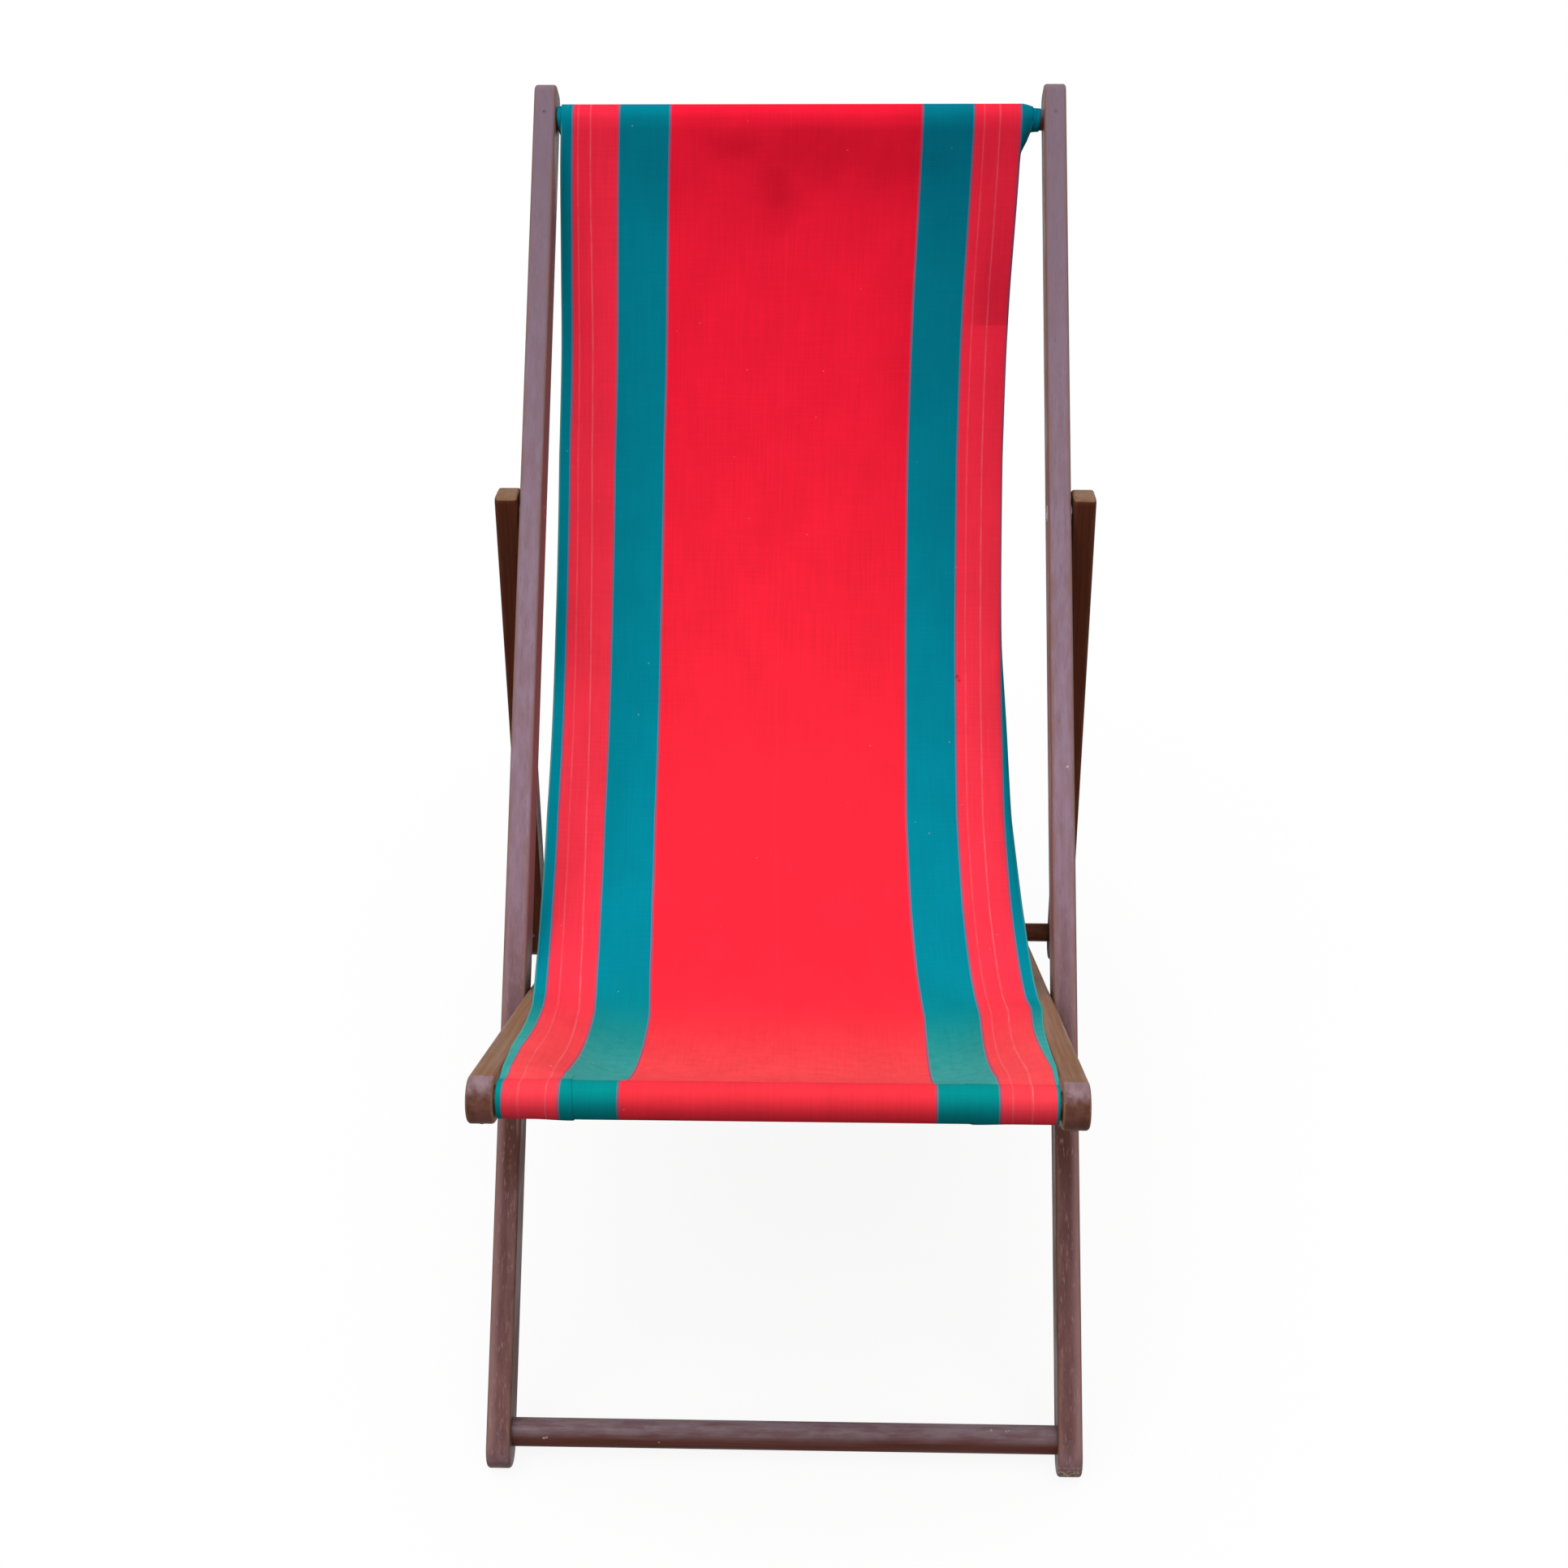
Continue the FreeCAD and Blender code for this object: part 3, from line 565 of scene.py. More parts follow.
def arris_group():
    """Edge wear of a board: one near its long corners, from its own half sizes."""
    sockets = [("Vector", VECTOR)] + [(key, FLOAT) for key in BOARD_SIZES]
    tree, start, end = new_group("board_arris", sockets, [("Mask", FLOAT)])
    sizes = start.outputs
    parts = split(tree, sizes["Vector"])
    thick = maths(tree, "SUBTRACT", maths(tree, "ABSOLUTE", parts["X"]), sizes["Centre X"])
    from_face = maths(tree, "SUBTRACT", sizes["Half Thick"], maths(tree, "ABSOLUTE", thick))
    from_edge = maths(tree, "SUBTRACT", sizes["Half Depth"], maths(tree, "ABSOLUTE", parts["Y"]))
    off = maths(tree, "ADD", from_face, from_edge)
    ragged = noise(tree, stretched(tree, sizes["Vector"], (0.006, 0.006, 0.03)), 1.0, 4.0)
    reach = between(tree, ragged, 0.3, 0.75, 0.0012, 0.0052)
    near = maths(tree, "SUBTRACT", reach, off)
    tree.links.new(between(tree, near, -0.0012, 0.0012), end.inputs["Mask"])
    return tree


def weave_group():
    """Plain weave on cloth coordinates in metres: threads over and under by turns."""
    tree, start, end = new_group(
        "plain_weave",
        [("Vector", VECTOR), ("Thread", FLOAT)],
        [("Height", FLOAT), ("Warp", FLOAT), ("Weft", FLOAT)],
    )
    place = start.outputs["Vector"]
    parts = split(tree, place)
    turn = maths(tree, "DIVIDE", math.pi, start.outputs["Thread"])
    over = maths(tree, "SINE", times(tree, parts["X"], turn))
    under = maths(tree, "SINE", times(tree, parts["Y"], turn))
    tree.links.new(times(tree, over, under), end.inputs["Height"])
    warp = noise(tree, stretched(tree, place, (0.0021, 0.08, 1.0)), 1.0, 4.0, 0.65)
    weft = noise(tree, stretched(tree, place, (0.05, 0.0021, 1.0)), 1.0, 4.0, 0.65)
    tree.links.new(warp, end.inputs["Warp"])
    tree.links.new(weft, end.inputs["Weft"])
    return tree


wood_grain = grain_group()
board_arris = arris_group()
plain_weave = weave_group()


def new_material(name):
    """A material with a Principled shader on its output."""
    made = bpy.data.materials.new(name)
    made.use_nodes = True
    tree = made.node_tree
    shader = next(n for n in tree.nodes if n.type == "BSDF_PRINCIPLED")
    return made, tree, shader


def bumped(tree, shader, height, strength, distance):
    """Links the relief of a height to the shader."""
    inputs = {"Height": height, "Strength": strength, "Distance": distance}
    bump = add(tree, "ShaderNodeBump", inputs)
    tree.links.new(bump.outputs["Normal"], shader.inputs["Normal"])


def linear(red, green, blue):
    """A colour written in 0 to 255, as linear light."""
    parts = (red / 255, green / 255, blue / 255)
    return tuple(p / 12.92 if p <= 0.04045 else ((p + 0.055) / 1.055) ** 2.4 for p in parts)


# Wood

# The ways that faces with the weathering grey and its painted sheen look, and how squarely: from
# none of it to all
FRONT_WAY = (0.0, -0.74, 0.68)
FRONT_SPAN = (0.42, 1.0)
SKY_WAY = (0.0, 0.30, 0.954)
SKY_SPAN = (-0.02, 0.88)

WOOD_GLOSS = 0.05
PALE_CHIP = linear(206, 188, 166)
DARK_PORE = (0.05, 0.025, 0.02)

# The main rails' tones by height above the ground, each from none to all
HIGH_TONE = (0.50, 0.95)
# The low tone is partly the legs' own browner colour and partly painted shade from the seat above
LOW_TONE = (0.46, 0.24)
# A painted shadow of the seat across the legs below it: where it starts and where it ends
SEAT_SHADOW_FROM = (0.175, 0.228)
SEAT_SHADOW_TO = (0.36, 0.28)
FOOT_TONE = (0.044, 0.020)
FOOT_SCUFFS = (0.026, 0.015)
OUTER_EDGE = (MAIN_RAIL_X + 0.001, MAIN_RAIL_X + 0.009)


def turned_to(tree, angle, centre):
    """Object coordinates turned about X by angle, with centre (y, z) at nought."""
    turn = Matrix.Rotation(angle, 3, "X")
    middle = turn @ Vector((0, centre[0], centre[1]))
    place = add(tree, "ShaderNodeTexCoord")
    made = add(
        tree,
        "ShaderNodeMapping",
        {"Vector": place.outputs["Object"], "Location": -middle, "Rotation": (angle, 0, 0)},
    )
    return place, made.outputs["Vector"]


def toned_by_height(tree, where, tone, base, dull, colours):
    """The main rails' unweathered and weathered colours by height, and the share that is low.

    The weathering colour goes to the high one towards the top, and to the low one near the
    ground, which is partly painted shade from the seat above, is darkest in a painted shadow of
    the seat and is paler along the outer edge. The unweathered one goes to its low shade, and both
    are greyer on the feet.
    """
    height = where["Z"]
    high = between(tree, height, *HIGH_TONE)
    low = between(tree, height, *LOW_TONE)
    dull = mix(tree, times(tree, high, 0.75), dull, colours["high"])
    low_tone = mix(tree, tone, colours["low"], colours["low_streak"])
    seat_shadow = times(
        tree, between(tree, height, *SEAT_SHADOW_FROM), between(tree, height, *SEAT_SHADOW_TO)
    )
    low_tone = mix(tree, times(tree, seat_shadow, 0.8), low_tone, colours["seat_shadow"])
    outer = between(tree, maths(tree, "ABSOLUTE", where["X"]), *OUTER_EDGE)
    low_tone = mix(tree, times(tree, outer, 0.9), low_tone, colours["low_edge"])
    at_foot = between(tree, height, *FOOT_TONE, 0.0, 0.8)
    foot_tone = mix(tree, tone, colours["foot"], colours["foot_streak"])
    low_tone = mix(tree, at_foot, low_tone, foot_tone)
    dull = mix(tree, low, dull, low_tone)
    base = mix(tree, times(tree, low, 0.9), base, colours["low_shade"])
    return mix(tree, at_foot, base, foot_tone), dull, low


def scuffed(tree, place, where, colour, scuff):
    """Pale scuffs on the tip of the foot on the +X side."""
    speck = noise(tree, place.outputs["Object"], 330.0, 3.0, 0.6)
    on_right = between(tree, where["X"], 0, 0.1)
    on_tip = times(tree, between(tree, where["Z"], *FOOT_SCUFFS), on_right)
    return mix(tree, times(tree, on_tip, between(tree, speck, 0.47, 0.57, 0.0, 0.8)), colour, scuff)


def wood(tree, place, local, colours, arris=None, way=FRONT_WAY, span=FRONT_SPAN):
    """Weathered varnish on wood, as its grain and its colour.

    The faces that look along way have the weathering colours, which carry a painted sheen, and
    the rest the varnish, each mottled into its second colour, with flecks, worn long corners and
    dark pores. With low colours, the tones also change by height, with painted shade below the
    seat.
    """
    grain = use_group(tree, wood_grain, {"Vector": local})
    facing = vector_maths(tree, "DOT_PRODUCT", place.outputs["Normal"], way)["Value"]
    blotched = maths(tree, "ADD", facing, times(tree, grain["Blotch"], 0.12))
    sheen_and_weather = between(tree, blotched, *span)
    mottled, streaked = times(tree, grain["Mottle"], 0.65), times(tree, grain["Streak"], 0.35)
    tone = maths(tree, "ADD", mottled, streaked)
    base = mix(tree, grain["Streak"], colours["varnish"], colours["shade"])
    dull = mix(tree, tone, colours["weathered_and_sheen"], colours["streak"])
    by_height = "low" in colours
    fleck_share = 0.15
    if by_height:
        where = split(tree, place.outputs["Object"])
        base, dull, low = toned_by_height(tree, where, tone, base, dull, colours)
        fleck_share = maths(tree, "ADD", times(tree, low, 0.4), fleck_share)
    colour = mix(tree, sheen_and_weather, base, dull)
    fleck = times(tree, times(tree, grain["Fleck"], sheen_and_weather), fleck_share)
    colour = mix(tree, fleck, colour, colours["fleck"])
    if by_height:
        colour = scuffed(tree, place, where, colour, colours["scuff"])
    if arris is not None:
        edge = use_group(tree, board_arris, {"Vector": local, **arris})["Mask"]
        colour = mix(tree, times(tree, edge, 0.5), colour, colours["worn"])
    return grain, mix(tree, times(tree, grain["Pore"], 0.22), colour, DARK_PORE)


def chipped(tree, place, colour, chips, pale):
    """Pale chips in a wood's colour: each is a ragged spot at (x, y, z) of a radius."""
    torn = noise(tree, place.outputs["Object"], 520.0, 3.0, 0.6)
    for x, y, z, radius in chips:
        off = vector_maths(tree, "DISTANCE", place.outputs["Object"], (x, y, z))["Value"]
        ragged = maths(tree, "ADD", off, times(tree, torn, 1.5 * radius))
        share = between(tree, ragged, 1.55 * radius, 0.9 * radius, 0.0, 0.8)
        colour = mix(tree, share, colour, pale)
    return colour


def varnished(tree, shader, grain, colour):
    """Links a wood's colour, its roughness and the relief of its grain to the shader."""
    tree.links.new(colour, shader.inputs["Base Color"])
    rough = between(tree, grain["Blotch"], 0.0, 1.0, 0.40, 0.55)
    tree.links.new(rough, shader.inputs["Roughness"])
    relief = maths(tree, "SUBTRACT", times(tree, grain["Streak"], 0.5), grain["Pore"])
    bumped(tree, shader, relief, 0.35, 0.00025)
    shader.inputs["Specular IOR Level"].default_value = WOOD_GLOSS


def nose_with_sheen(tree, place, local, grain, colour, colours, nose):
    """A board's round front end: greyed by weather with a painted sheen on top, and darker
    underneath.
    """
    parts = split(tree, local)
    wavy = times(tree, grain["Mottle"], 0.003)
    along = maths(tree, "ADD", parts["Z"], wavy)
    on_nose = between(tree, along, nose + 0.0006, nose - 0.0006)
    facing = split(tree, place.outputs["Normal"])["X"]
    sideways = between(tree, maths(tree, "ABSOLUTE", facing), 0.3, 0.8)
    on_nose = times(tree, on_nose, maths(tree, "SUBTRACT", 1, sideways))
    upper = between(tree, maths(tree, "ADD", parts["Y"], wavy), -0.0020, -0.0150)
    top = mix(tree, grain["Mottle"], colours["weathered_and_sheen"], colours["streak"])
    under = mix(tree, grain["Mottle"], colours["under"], colours["under_shade"])
    return mix(tree, on_nose, colour, mix(tree, upper, under, top))


def board_wood(name, angle, centre, arris, colours, nose=None, chips=(), **facing):
    """A varnished board's finish, turned to lie along it. arris has the board's place along X,
    its half depth and its half thickness, and nose is where its round front end starts."""
    made, tree, shader = new_material(name)
    place, local = turned_to(tree, angle, centre)
    sizes = dict(zip(BOARD_SIZES, arris))
    grain, colour = wood(tree, place, local, colours, sizes, **facing)
    if nose is not None:
        colour = nose_with_sheen(tree, place, local, grain, colour, colours, nose)
    colour = chipped(tree, place, colour, chips, colours["chip"])
    varnished(tree, shader, grain, colour)
    return made


def bar_wood(name, colours, chips=(), **facing):
    """A varnished round bar's finish, with its grain along X."""
    made, tree, shader = new_material(name)
    place = add(tree, "ShaderNodeTexCoord")
    local = add(
        tree,
        "ShaderNodeMapping",
        {"Vector": place.outputs["Object"], "Rotation": (0, -math.pi / 2, 0)},
    ).outputs["Vector"]
    grain, colour = wood(tree, place, local, colours, **facing)
    colour = chipped(tree, place, colour, chips, colours["chip"])
    varnished(tree, shader, grain, colour)
    return made


main_wood = board_wood(
    "main_rail_wood",
    MAIN_LEAN,
    seat_pivot,
    (MAIN_RAIL_X, RAIL_HALF_DEPTH, RAIL_HALF_THICK),
    {
        "varnish": linear(130, 110, 107),
        "shade": linear(112, 92, 87),
        # Weathering grey with a painted sheen, on the faces that look to the front and up
        "weathered_and_sheen": linear(150, 126, 145),
        "streak": linear(136, 108, 116),
        "high": linear(124, 104, 118),
        "low": linear(122, 86, 84),
        "low_streak": linear(100, 68, 66),
        "low_edge": linear(148, 114, 114),
        "low_shade": linear(98, 62, 54),
        # Painted shadow of the seat on the legs below it
        "seat_shadow": linear(84, 48, 38),
        "foot": linear(138, 108, 114),
        "foot_streak": linear(112, 82, 86),
        "scuff": linear(186, 172, 142),
        "fleck": linear(168, 132, 124),
        "worn": linear(138, 104, 92),
        "chip": PALE_CHIP,
    },
    # One chip below the right prop and three under the right foot
    chips=(
        (0.2560, -0.0188, 0.4843, 0.0024),
        (0.2440, -0.4372, 0.0085, 0.0030),
        (0.2500, -0.4375, 0.0095, 0.0022),
        (0.2575, -0.4366, 0.0080, 0.0034),
    ),
)
seat_wood = board_wood(
    "seat_rail_wood",
    math.pi / 2 + SEAT_SLOPE,
    seat_pivot,
    (SEAT_RAIL_X, RAIL_HALF_DEPTH, RAIL_HALF_THICK),
    {
        "varnish": linear(144, 110, 84),
        "shade": linear(126, 90, 66),
        "weathered_and_sheen": linear(150, 124, 130),
        "streak": linear(134, 106, 112),
        "under": linear(112, 72, 62),
        "under_shade": linear(94, 58, 48),
        "fleck": linear(164, 132, 104),
        "worn": linear(134, 104, 82),
        "chip": PALE_CHIP,
    },
    nose=RAIL_HALF_DEPTH - SEAT_REACH,
    # No face looks so squarely, so only the nose gets the weathering grey with its painted sheen
    span=(2.0, 3.0),
)
prop_way = prop_bar - prop_pivot
prop_way /= np.linalg.norm(prop_way)
dark_varnish = {
    "varnish": linear(86, 43, 26),
    "shade": linear(70, 34, 22),
    "weathered_and_sheen": linear(138, 104, 82),
    "streak": linear(122, 90, 68),
    "fleck": linear(150, 116, 96),
    "worn": linear(96, 54, 38),
    "chip": PALE_CHIP,
}
prop_wood = board_wood(
    "prop_wood",
    math.pi + math.atan2(-prop_way[0], -prop_way[1]),
    prop_pivot,
    (PROP_RAIL_X, PROP_HALF_DEPTH, PROP_HALF_THICK),
    dark_varnish,
    # Only the props' upper ends get the weathering colour, with painted light on their lit tops
    way=(0.0, -float(prop_way[0]), -float(prop_way[1])),
    span=(0.5, 0.62),
)
bar_colours = {
    "varnish": linear(103, 61, 54),
    "shade": linear(82, 46, 39),
    "weathered_and_sheen": linear(134, 119, 126),
    "streak": linear(110, 82, 86),
    "fleck": linear(146, 126, 124),
    "chip": linear(176, 156, 146),
}
# The foot bar's chips: place along X, turn forward from its top, and radius
FOOT_CHIPS = (
    (-0.212, 1.15, 0.0024),
    (-0.2095, 1.10, 0.0017),
    (-0.110, 1.35, 0.0015),
    (0.183, 0.10, 0.0021),
    (0.196, 0.16, 0.0019),
    (0.1985, 0.12, 0.0014),
)
foot_y, foot_z = (float(part) for part in bar_axis("foot_bar"))
foot_chips = tuple(
    (x, foot_y - FOOT_BAR_R * math.sin(turn), foot_z + FOOT_BAR_R * math.cos(turn), radius)
    for x, turn, radius in FOOT_CHIPS
)
# The bars' upward faces get the weathering grey with a painted sheen, the rest the varnish
round_wood = bar_wood("bar_wood", bar_colours, foot_chips, way=SKY_WAY, span=SKY_SPAN)
dark_bar_wood = bar_wood(
    "dark_bar_wood",
    {**dark_varnish, "weathered_and_sheen": linear(84, 46, 32), "streak": linear(74, 40, 28)},
)


# Metal

def metal(name, colour, tarnish, rough, bright=0.9):
    """Dull steel or brass with tarnish in slow blotches and fine scratches."""
    made, tree, shader = new_material(name)
    place = add(tree, "ShaderNodeTexCoord").outputs["Object"]
    blotch = between(tree, noise(tree, place, 320.0, 4.0, 0.6), 0.4, 0.68)
    scratch = noise(tree, stretched(tree, place, (0.004, 0.0004, 0.0004)), 1.0, 2.0)
    tree.links.new(mix(tree, blotch, colour, tarnish), shader.inputs["Base Color"])
    tree.links.new(between(tree, blotch, 0, 1, rough, rough + 0.28), shader.inputs["Roughness"])
    shader.inputs["Metallic"].default_value = bright
    bumped(tree, shader, scratch, 0.2, 0.0001)
    return made


pivot_steel = metal("pivot_steel", linear(168, 166, 162), linear(96, 84, 76), 0.30)
nail_steel = metal("nail_steel", linear(96, 74, 84), linear(82, 60, 68), 0.55, 0.15)
tack_brass = metal("tack_brass", linear(178, 148, 96), linear(96, 74, 48), 0.34)


# Canvas: places on the flat cloth are across from its middle line, and along from the top roll

# Painted shade of shallow dents in the flat cloth: place, half sizes and depth
DENT_SHADES = (
    (-0.050, 0.026, 0.050, 0.022, 0.42),
    (-0.016, 0.066, 0.032, 0.046, 0.42),
    (0.030, 0.034, 0.140, 0.048, 0.34),
    (0.204, 0.165, 0.032, 0.080, 0.46),
)
# Small stains and lint: place, radius and colour
SPOTS = (
    (0.1730, 0.552, 0.0030, linear(170, 34, 50)),
    (0.1752, 0.556, 0.0024, linear(186, 36, 54)),
    (-0.186, 1.172, 0.0016, linear(255, 190, 170)),
)
# The powers of the painted shade that red, green and blue get: it is a little green-grey and warm
SHADE_POWERS = (1.0, 1.5, 1.2)
PIN_SHARES = {"pin_a": 0.13, "pin_b": 0.20}

# The yarns' colours at the top, down the back and on the seat
CENTRE_RED = (linear(250, 28, 57), linear(254, 42, 62), linear(250, 54, 68))
OUTER_RED = (linear(255, 46, 72), linear(255, 58, 78), linear(253, 66, 80))
GREEN = (linear(0, 131, 150), linear(0, 140, 160), linear(2, 145, 145))
FADED_RED = linear(255, 84, 88)
FADED_GREEN = linear(66, 170, 165)
BORDER_YARN = linear(130, 96, 132)
PALE_THREAD = linear(255, 176, 184)
LINT = linear(255, 178, 172)
SELVEDGE = linear(120, 176, 160)

# Spans of length from the top roll: the colours change down the back, change on the seat and
# fade there, and the painted shade of the dents, down the right side and under the top roll ends
DOWN_BACK = (0.15, 0.70)
ON_SEAT = (0.85, 1.05)
FADES = (0.93, 1.13)
DENT_SHADES_END = (0.2000, 0.1985)
RIGHT_SIDE_SHADE = (0.95, 0.12)
TOP_ROLL_SHADE = (0.17, 0.02)


def yarn_masks(tree, away):
    """Masks of the three yarns, as a colour's channels: red, green and the border between."""
    ramp = add(tree, "ShaderNodeValToRGB", {"Fac": maths(tree, "DIVIDE", away, HALF_CANVAS)})
    red, green, border = (1, 0, 0, 1), (0, 1, 0, 1), (0, 0, 1, 1)
    soft = 0.0003
    stops = []
    for line, inner, outer in (
        (CENTRE_RED_TO, red, green),
        (GREEN_TO, green, red),
        (OUTER_RED_TO, red, green),
    ):
        stops += [
            (line - soft, inner),
            (line + soft, border),
            (line + BORDER - soft, border),
            (line + BORDER + soft, outer),
        ]
    elements = ramp.color_ramp.elements
    elements[0].position, elements[0].color = 0, red
    elements[1].position, elements[1].color = stops[0][0] / HALF_CANVAS, stops[0][1]
    for at, colour in stops[1:]:
        elements.new(at / HALF_CANVAS).color = colour
    return add(tree, "ShaderNodeSeparateColor", {0: ramp.outputs["Color"]}).outputs


def striped_colour(tree, place, away, along, end):
    """The three yarns' colours. They are paler down the back, and faded on the seat, with
    specks, up to where the front roll starts."""
    speck = noise(tree, stretched(tree, place, (0.012, 0.012, 1.0)), 1.0, 5.0, 0.7)
    before_roll = between(tree, along, end + 0.001, end - 0.002)
    fade = times(tree, between(tree, along, *FADES), before_roll)
    specks = between(tree, speck, 0.30, 0.62, 0.60, 1.0)
    faded = maths(tree, "MULTIPLY", fade, specks, clamp=True)
    down_back = between(tree, along, *DOWN_BACK)
    on_seat = between(tree, along, *ON_SEAT)
    centre_red, outer_red, green = (
        mix(tree, on_seat, mix(tree, down_back, top, back), seat)
        for top, back, seat in (CENTRE_RED, OUTER_RED, GREEN)
    )
    in_outer = between(tree, away, GREEN_TO, GREEN_TO + 0.002)
    red_yarn = mix(tree, faded, mix(tree, in_outer, centre_red, outer_red), FADED_RED)
    green_yarn = mix(tree, faded, green, FADED_GREEN)
    yarn = yarn_masks(tree, away)
    colour = mix(tree, yarn["Green"], red_yarn, green_yarn)
    return mix(tree, times(tree, yarn["Blue"], 0.85), colour, BORDER_YARN)


def with_pins(tree, place, colour):
    """Paler pin threads in the outer red stripes, broken where the weave hides them."""
    patches = noise(tree, stretched(tree, place, (0.004, 0.020, 1.0)), 1.0, 3.0)
    broken = between(tree, patches, 0.30, 0.66, 0.4, 1.0)
    for key, share in PIN_SHARES.items():
        value = add(tree, "ShaderNodeAttribute", attribute_name=key).outputs["Fac"]
        thread = between(tree, maths(tree, "ABSOLUTE", value), 0.0011, 0.0004)
        pale = times(tree, times(tree, thread, broken), share)
        colour = mix(tree, pale, colour, PALE_THREAD)
    return colour


def painted_cloth_shade(tree, place, side, along, on_back, end):
    """How light the cloth is painted: painted shade in shallow dents near the top, down the right
    side, under the top roll and on the underside of the front roll."""
    dent_shade = 0.0
    torn = noise(tree, stretched(tree, place, (0.030, 0.034, 1.0)), 1.0, 4.0, 0.6)
    for x, y, half_x, half_y, depth in DENT_SHADES:
        off = vector_maths(tree, "SUBTRACT", place, (x, y, 0.0))[0]
        size = add(
            tree,
            "ShaderNodeVectorMath",
            {0: stretched(tree, off, (half_x, half_y, 1.0))},
            operation="LENGTH",
        ).outputs["Value"]
        ragged = maths(tree, "ADD", size, times(tree, torn, 0.9))
        spot = times(tree, between(tree, ragged, 1.75, 0.45), depth)
        dent_shade = maths(tree, "MAXIMUM", dent_shade, spot)
    dent_shade = times(tree, times(tree, dent_shade, on_back), between(tree, along, *DENT_SHADES_END))
    # Painted shade down the right side of the cloth
    right_side_shade = times(tree, between(tree, side, 0.04, 0.18), between(tree, along, *RIGHT_SIDE_SHADE))
    # Painted shade on the cloth just under the top roll
    top_roll_shade = times(tree, between(tree, along, *TOP_ROLL_SHADE), on_back)
    # Painted shade on the underside of the front roll
    roll_underside_shade = between(tree, along, end + 0.014, end + 0.034)
    shade = 1.0
    for mask, depth in ((dent_shade, 0.42), (right_side_shade, 0.13), (top_roll_shade, 0.12), (roll_underside_shade, 0.28)):
        shade = maths(tree, "SUBTRACT", shade, times(tree, mask, depth))
    return shade


def with_slubs(tree, place, colour, weave, shade):
    """The colour times its slubs, its slow blotches and its painted shade."""
    warp = between(tree, weave["Warp"], 0.3, 0.7, 0.955, 1.03)
    weft = between(tree, weave["Weft"], 0.3, 0.7, 0.97, 1.02)
    patches = noise(tree, stretched(tree, place, (0.05, 0.07, 1.0)), 1.0, 4.0)
    cloud = between(tree, patches, 0.3, 0.7, 0.955, 1.03)
    level = times(tree, times(tree, warp, weft), cloud)
    powers = [maths(tree, "POWER", shade, power) for power in SHADE_POWERS]
    channels = [times(tree, level, value) for value in powers]
    tone = add(tree, "ShaderNodeCombineXYZ", dict(enumerate(channels))).outputs[0]
    return mix(tree, 1.0, colour, tone, "MULTIPLY")


def with_lint(tree, place, colour):
    """Fine lint all over, and the single spots."""
    lint = add(
        tree, "ShaderNodeTexVoronoi", {"Vector": place, "Scale": 38.0, "Randomness": 1.0}
    ).outputs["Distance"]
    colour = mix(tree, between(tree, lint, 0.036, 0.020, 0.0, 0.2), colour, LINT)
    for x, y, radius, tint in SPOTS:
        off = vector_maths(tree, "DISTANCE", place, (x, y, 0.0))["Value"]
        colour = mix(tree, between(tree, off, radius, 0.3 * radius, 0.0, 0.75), colour, tint)
    return colour


def striped_canvas(end):
    """Woven stripes on the cloth's own coordinates, faded on the seat, with a paler selvedge and
    painted shade. The front roll starts at end."""
    made, tree, shader = new_material("striped_canvas")
    place = add(tree, "ShaderNodeUVMap", uv_map="cloth").outputs["UV"]
    parts = split(tree, place)
    away = maths(tree, "ABSOLUTE", parts["X"])
    along = parts["Y"]
    on_back = between(tree, along, 0.0, 0.012)
    weave = use_group(tree, plain_weave, {"Vector": place, "Thread": THREAD})

    colour = striped_colour(tree, place, away, along, end)
    colour = with_pins(tree, place, colour)
    # Painted shade: dents near the top, the right side, under the top roll and under the front roll
    shade = painted_cloth_shade(tree, place, parts["X"], along, on_back, end)
    colour = with_slubs(tree, place, colour, weave, shade)
    colour = with_lint(tree, place, colour)

    # The selvedge is paler between the rolls
    selvedge = between(tree, away, HALF_CANVAS - 0.0018, HALF_CANVAS - 0.0010, 0.0, 0.45)
    off_rolls = times(tree, on_back, between(tree, along, end + 0.004, end - 0.010))
    colour = mix(tree, times(tree, selvedge, off_rolls), colour, SELVEDGE)

    tree.links.new(colour, shader.inputs["Base Color"])
    rough = between(tree, weave["Warp"], 0.3, 0.7, 0.78, 0.92)
    tree.links.new(rough, shader.inputs["Roughness"])
    shader.inputs["Specular IOR Level"].default_value = 0.03
    relief = maths(tree, "ADD", times(tree, weave["Height"], 0.6), weave["Warp"])
    bumped(tree, shader, relief, 0.2, 0.00015)
    return made


# The sling: one canvas from bar to bar

points, normals, stations, canvas_end = canvas_line()
grid, flat = canvas_grid(points, normals, stations, canvas_end)
canvas = sheet_mesh("canvas_sling", grid, flat, pin_distances(flat[0, :, 0], stations))
canvas.data.materials.append(striped_canvas(canvas_end))
shell = canvas.modifiers.new("thickness", "SOLIDIFY")
shell.thickness = CANVAS_THICK
shell.offset = 0
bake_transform(canvas)
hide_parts("sling", "top_canvas_roll", "front_canvas_roll")

# Finishes of the rigid nodes, by the first of these words in a node's name
finishes = {
    "nails": nail_steel,
    "tacks": tack_brass,
    "pivot": pivot_steel,
    "main_rail": main_wood,
    "seat_rail": seat_wood,
    "prop_rail": prop_wood,
    "prop_bar": dark_bar_wood,
    "_bar": round_wood,
}
for node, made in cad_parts.items():
    kind = next((word for word in finishes if word in node), None)
    for part in made.material_slots if kind else ():
        part.material = finishes[kind]


# Floor, light and camera

FLOOR_REACH = 16.0
SKY_LEVEL = 0.45

# The lamp shines down, a little from the front and the left, from a disc of sky 80 degrees wide
LAMP_WAY = (0.10, 0.270, -0.957)
LAMP_SPREAD = math.radians(80)
LAMP_STRENGTH = 2.12

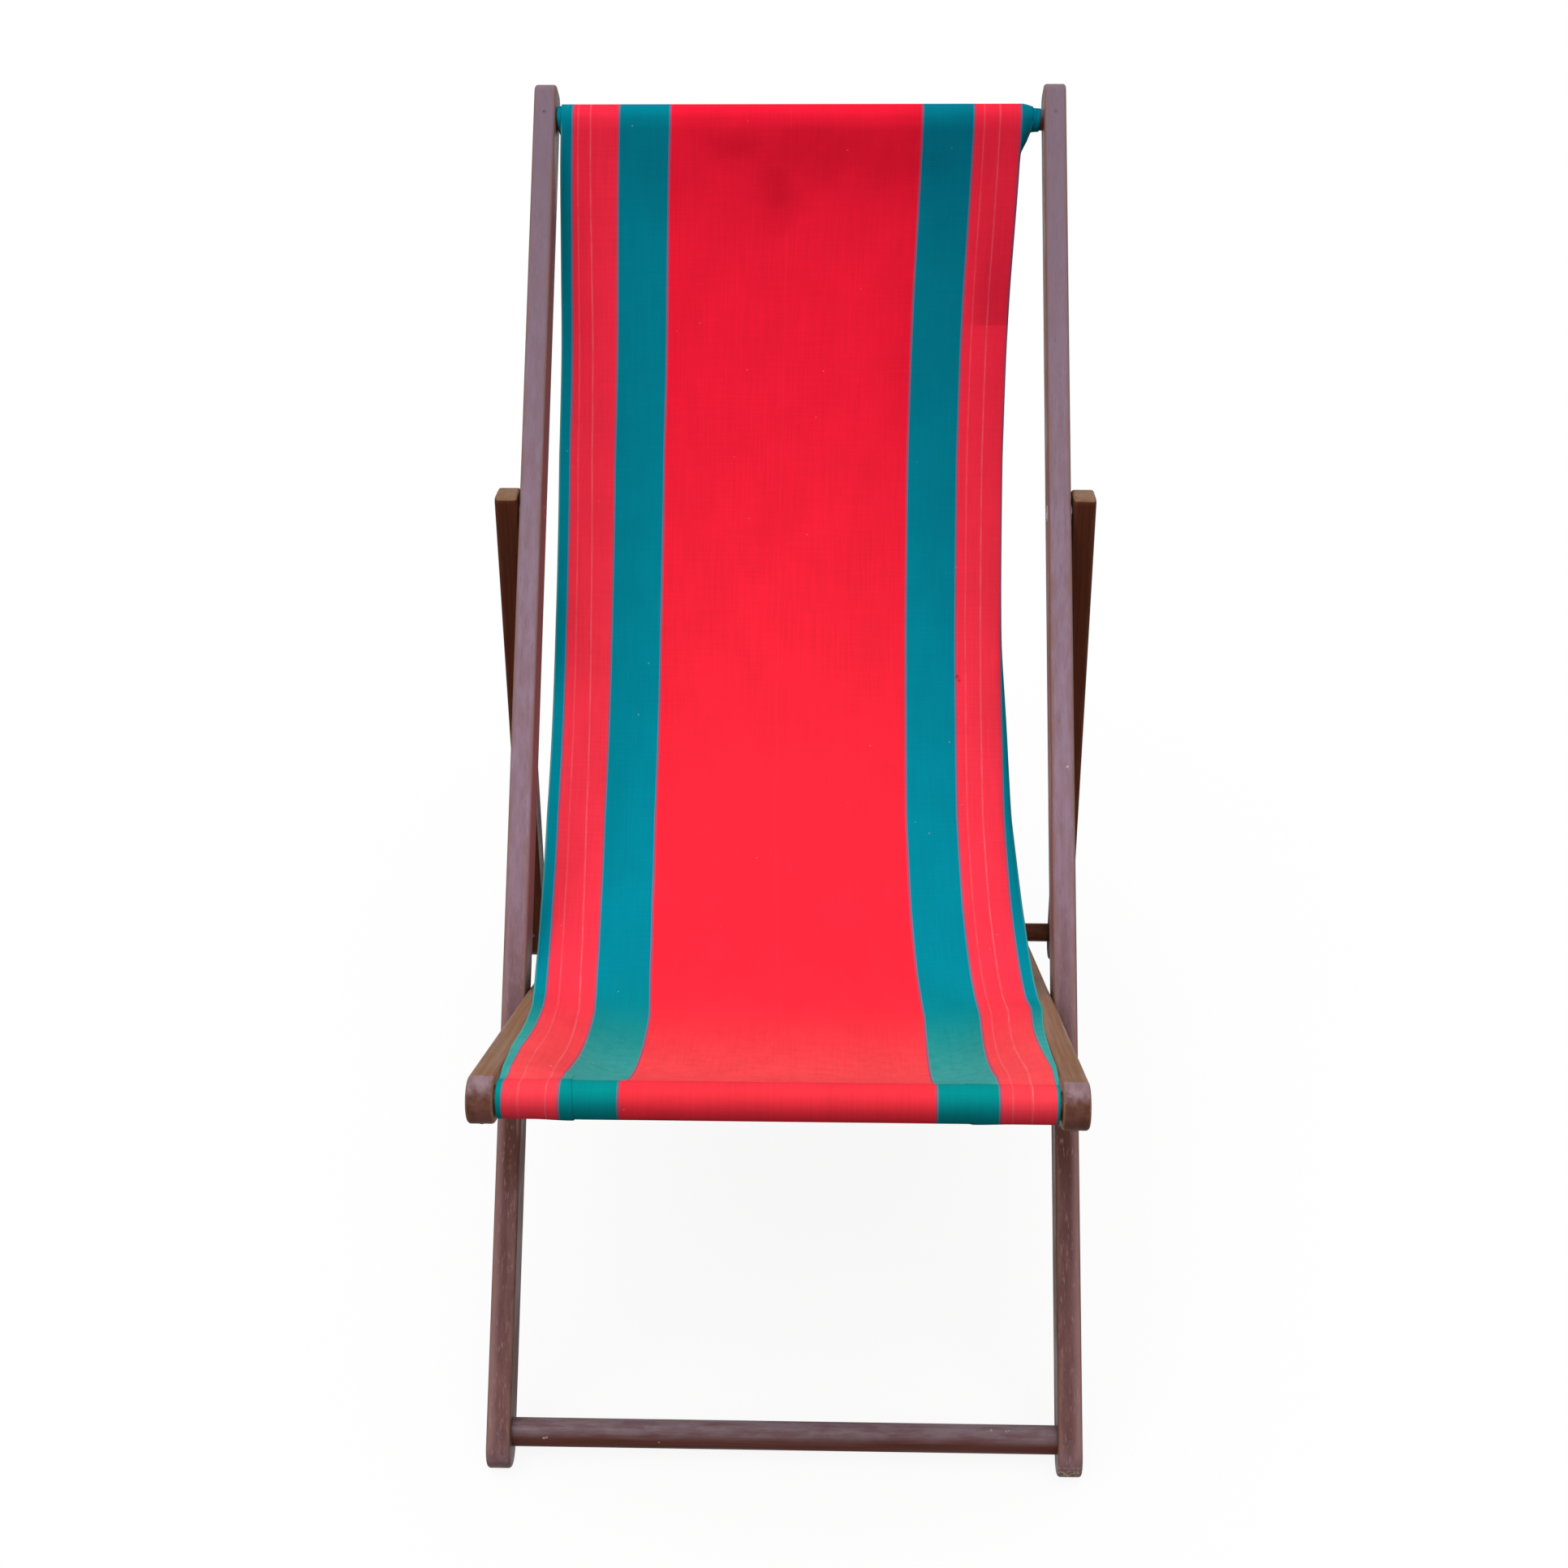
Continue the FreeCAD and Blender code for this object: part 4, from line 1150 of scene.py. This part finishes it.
CAMERA_PLACE = (0.0509, -1.7435, 1.5423)
CAMERA_TURNS = (1.921, 32.012, 0.604)
LENS = 50.0
SENSOR = 36.0


def seen_directly(tree):
    """One for the camera's rays and those it sees in a mirror or through glass."""
    path = add(tree, "ShaderNodeLightPath").outputs
    straight = maths(tree, "ADD", path["Is Camera Ray"], path["Is Glossy Ray"])
    return maths(tree, "ADD", straight, path["Is Transmission Ray"], clamp=True)


def floor():
    """A pale floor: white to the camera, with a soft shadow, and greyer to the lamps' bounce."""
    corners = np.array([[(-1, 1, 0), (1, 1, 0)], [(-1, -1, 0), (1, -1, 0)]]) * FLOOR_REACH
    made = sheet_mesh("floor", corners, corners[..., :2], {})
    finish, tree, shader = new_material("pale_floor")
    tree.nodes.remove(shader)
    seen = seen_directly(tree)
    pale = mix(tree, seen, (0.24, 0.24, 0.24), (0.96, 0.96, 0.96))
    lit = add(tree, "ShaderNodeBsdfDiffuse", {"Color": pale}).outputs[0]
    glow = add(tree, "ShaderNodeEmission", {"Color": (1, 1, 1, 1), "Strength": 1.0}).outputs[0]
    both = add(tree, "ShaderNodeMixShader", {0: times(tree, seen, 0.9), 1: lit, 2: glow})
    out = next(n for n in tree.nodes if n.type == "OUTPUT_MATERIAL")
    tree.links.new(both.outputs[0], out.inputs["Surface"])
    made.data.materials.append(finish)


def studio_world():
    """White to the camera, and a soft even sky to everything else."""
    world = bpy.data.worlds.new("studio")
    bpy.context.scene.world = world
    world.use_nodes = True
    tree = world.node_tree
    tree.nodes.clear()
    sky, white = (
        add(tree, "ShaderNodeBackground", {"Color": (1, 1, 1, 1), "Strength": level}).outputs[0]
        for level in (SKY_LEVEL, 1.0)
    )
    both = add(tree, "ShaderNodeMixShader", {0: seen_directly(tree), 1: sky, 2: white})
    out = tree.nodes.new("ShaderNodeOutputWorld")
    tree.links.new(both.outputs[0], out.inputs["Surface"])


def wide_light(name, way, spread, strength):
    """A distant lamp that shines along way from a disc of sky spread wide, for soft shadows."""
    lamp = bpy.data.lights.new(name, "SUN")
    lamp.angle = spread
    lamp.energy = strength
    made = bpy.data.objects.new(name, lamp)
    made.rotation_euler = Vector(way).to_track_quat("-Z", "Y").to_euler()
    bpy.context.scene.collection.objects.link(made)


def add_camera():
    """The photograph's viewpoint: yaw about Z, then pitch, then roll."""
    yaw, pitch, roll = (math.radians(a) for a in CAMERA_TURNS)
    turn = (
        Matrix.Rotation(yaw, 4, "Z")
        @ Matrix.Rotation(-pitch, 4, "X")
        @ Matrix.Rotation(roll, 4, "Y")
        @ Matrix.Rotation(math.pi / 2, 4, "X")
    )
    camera = bpy.data.objects.new("camera", bpy.data.cameras.new("camera"))
    camera.data.lens = LENS
    camera.data.sensor_width = SENSOR
    camera.matrix_world = Matrix.Translation(CAMERA_PLACE) @ turn
    bpy.context.scene.collection.objects.link(camera)
    bpy.context.scene.camera = camera


floor()
studio_world()
wide_light("overhead_light", LAMP_WAY, LAMP_SPREAD, LAMP_STRENGTH)
add_camera()
bpy.context.scene.view_settings.view_transform = "Standard"
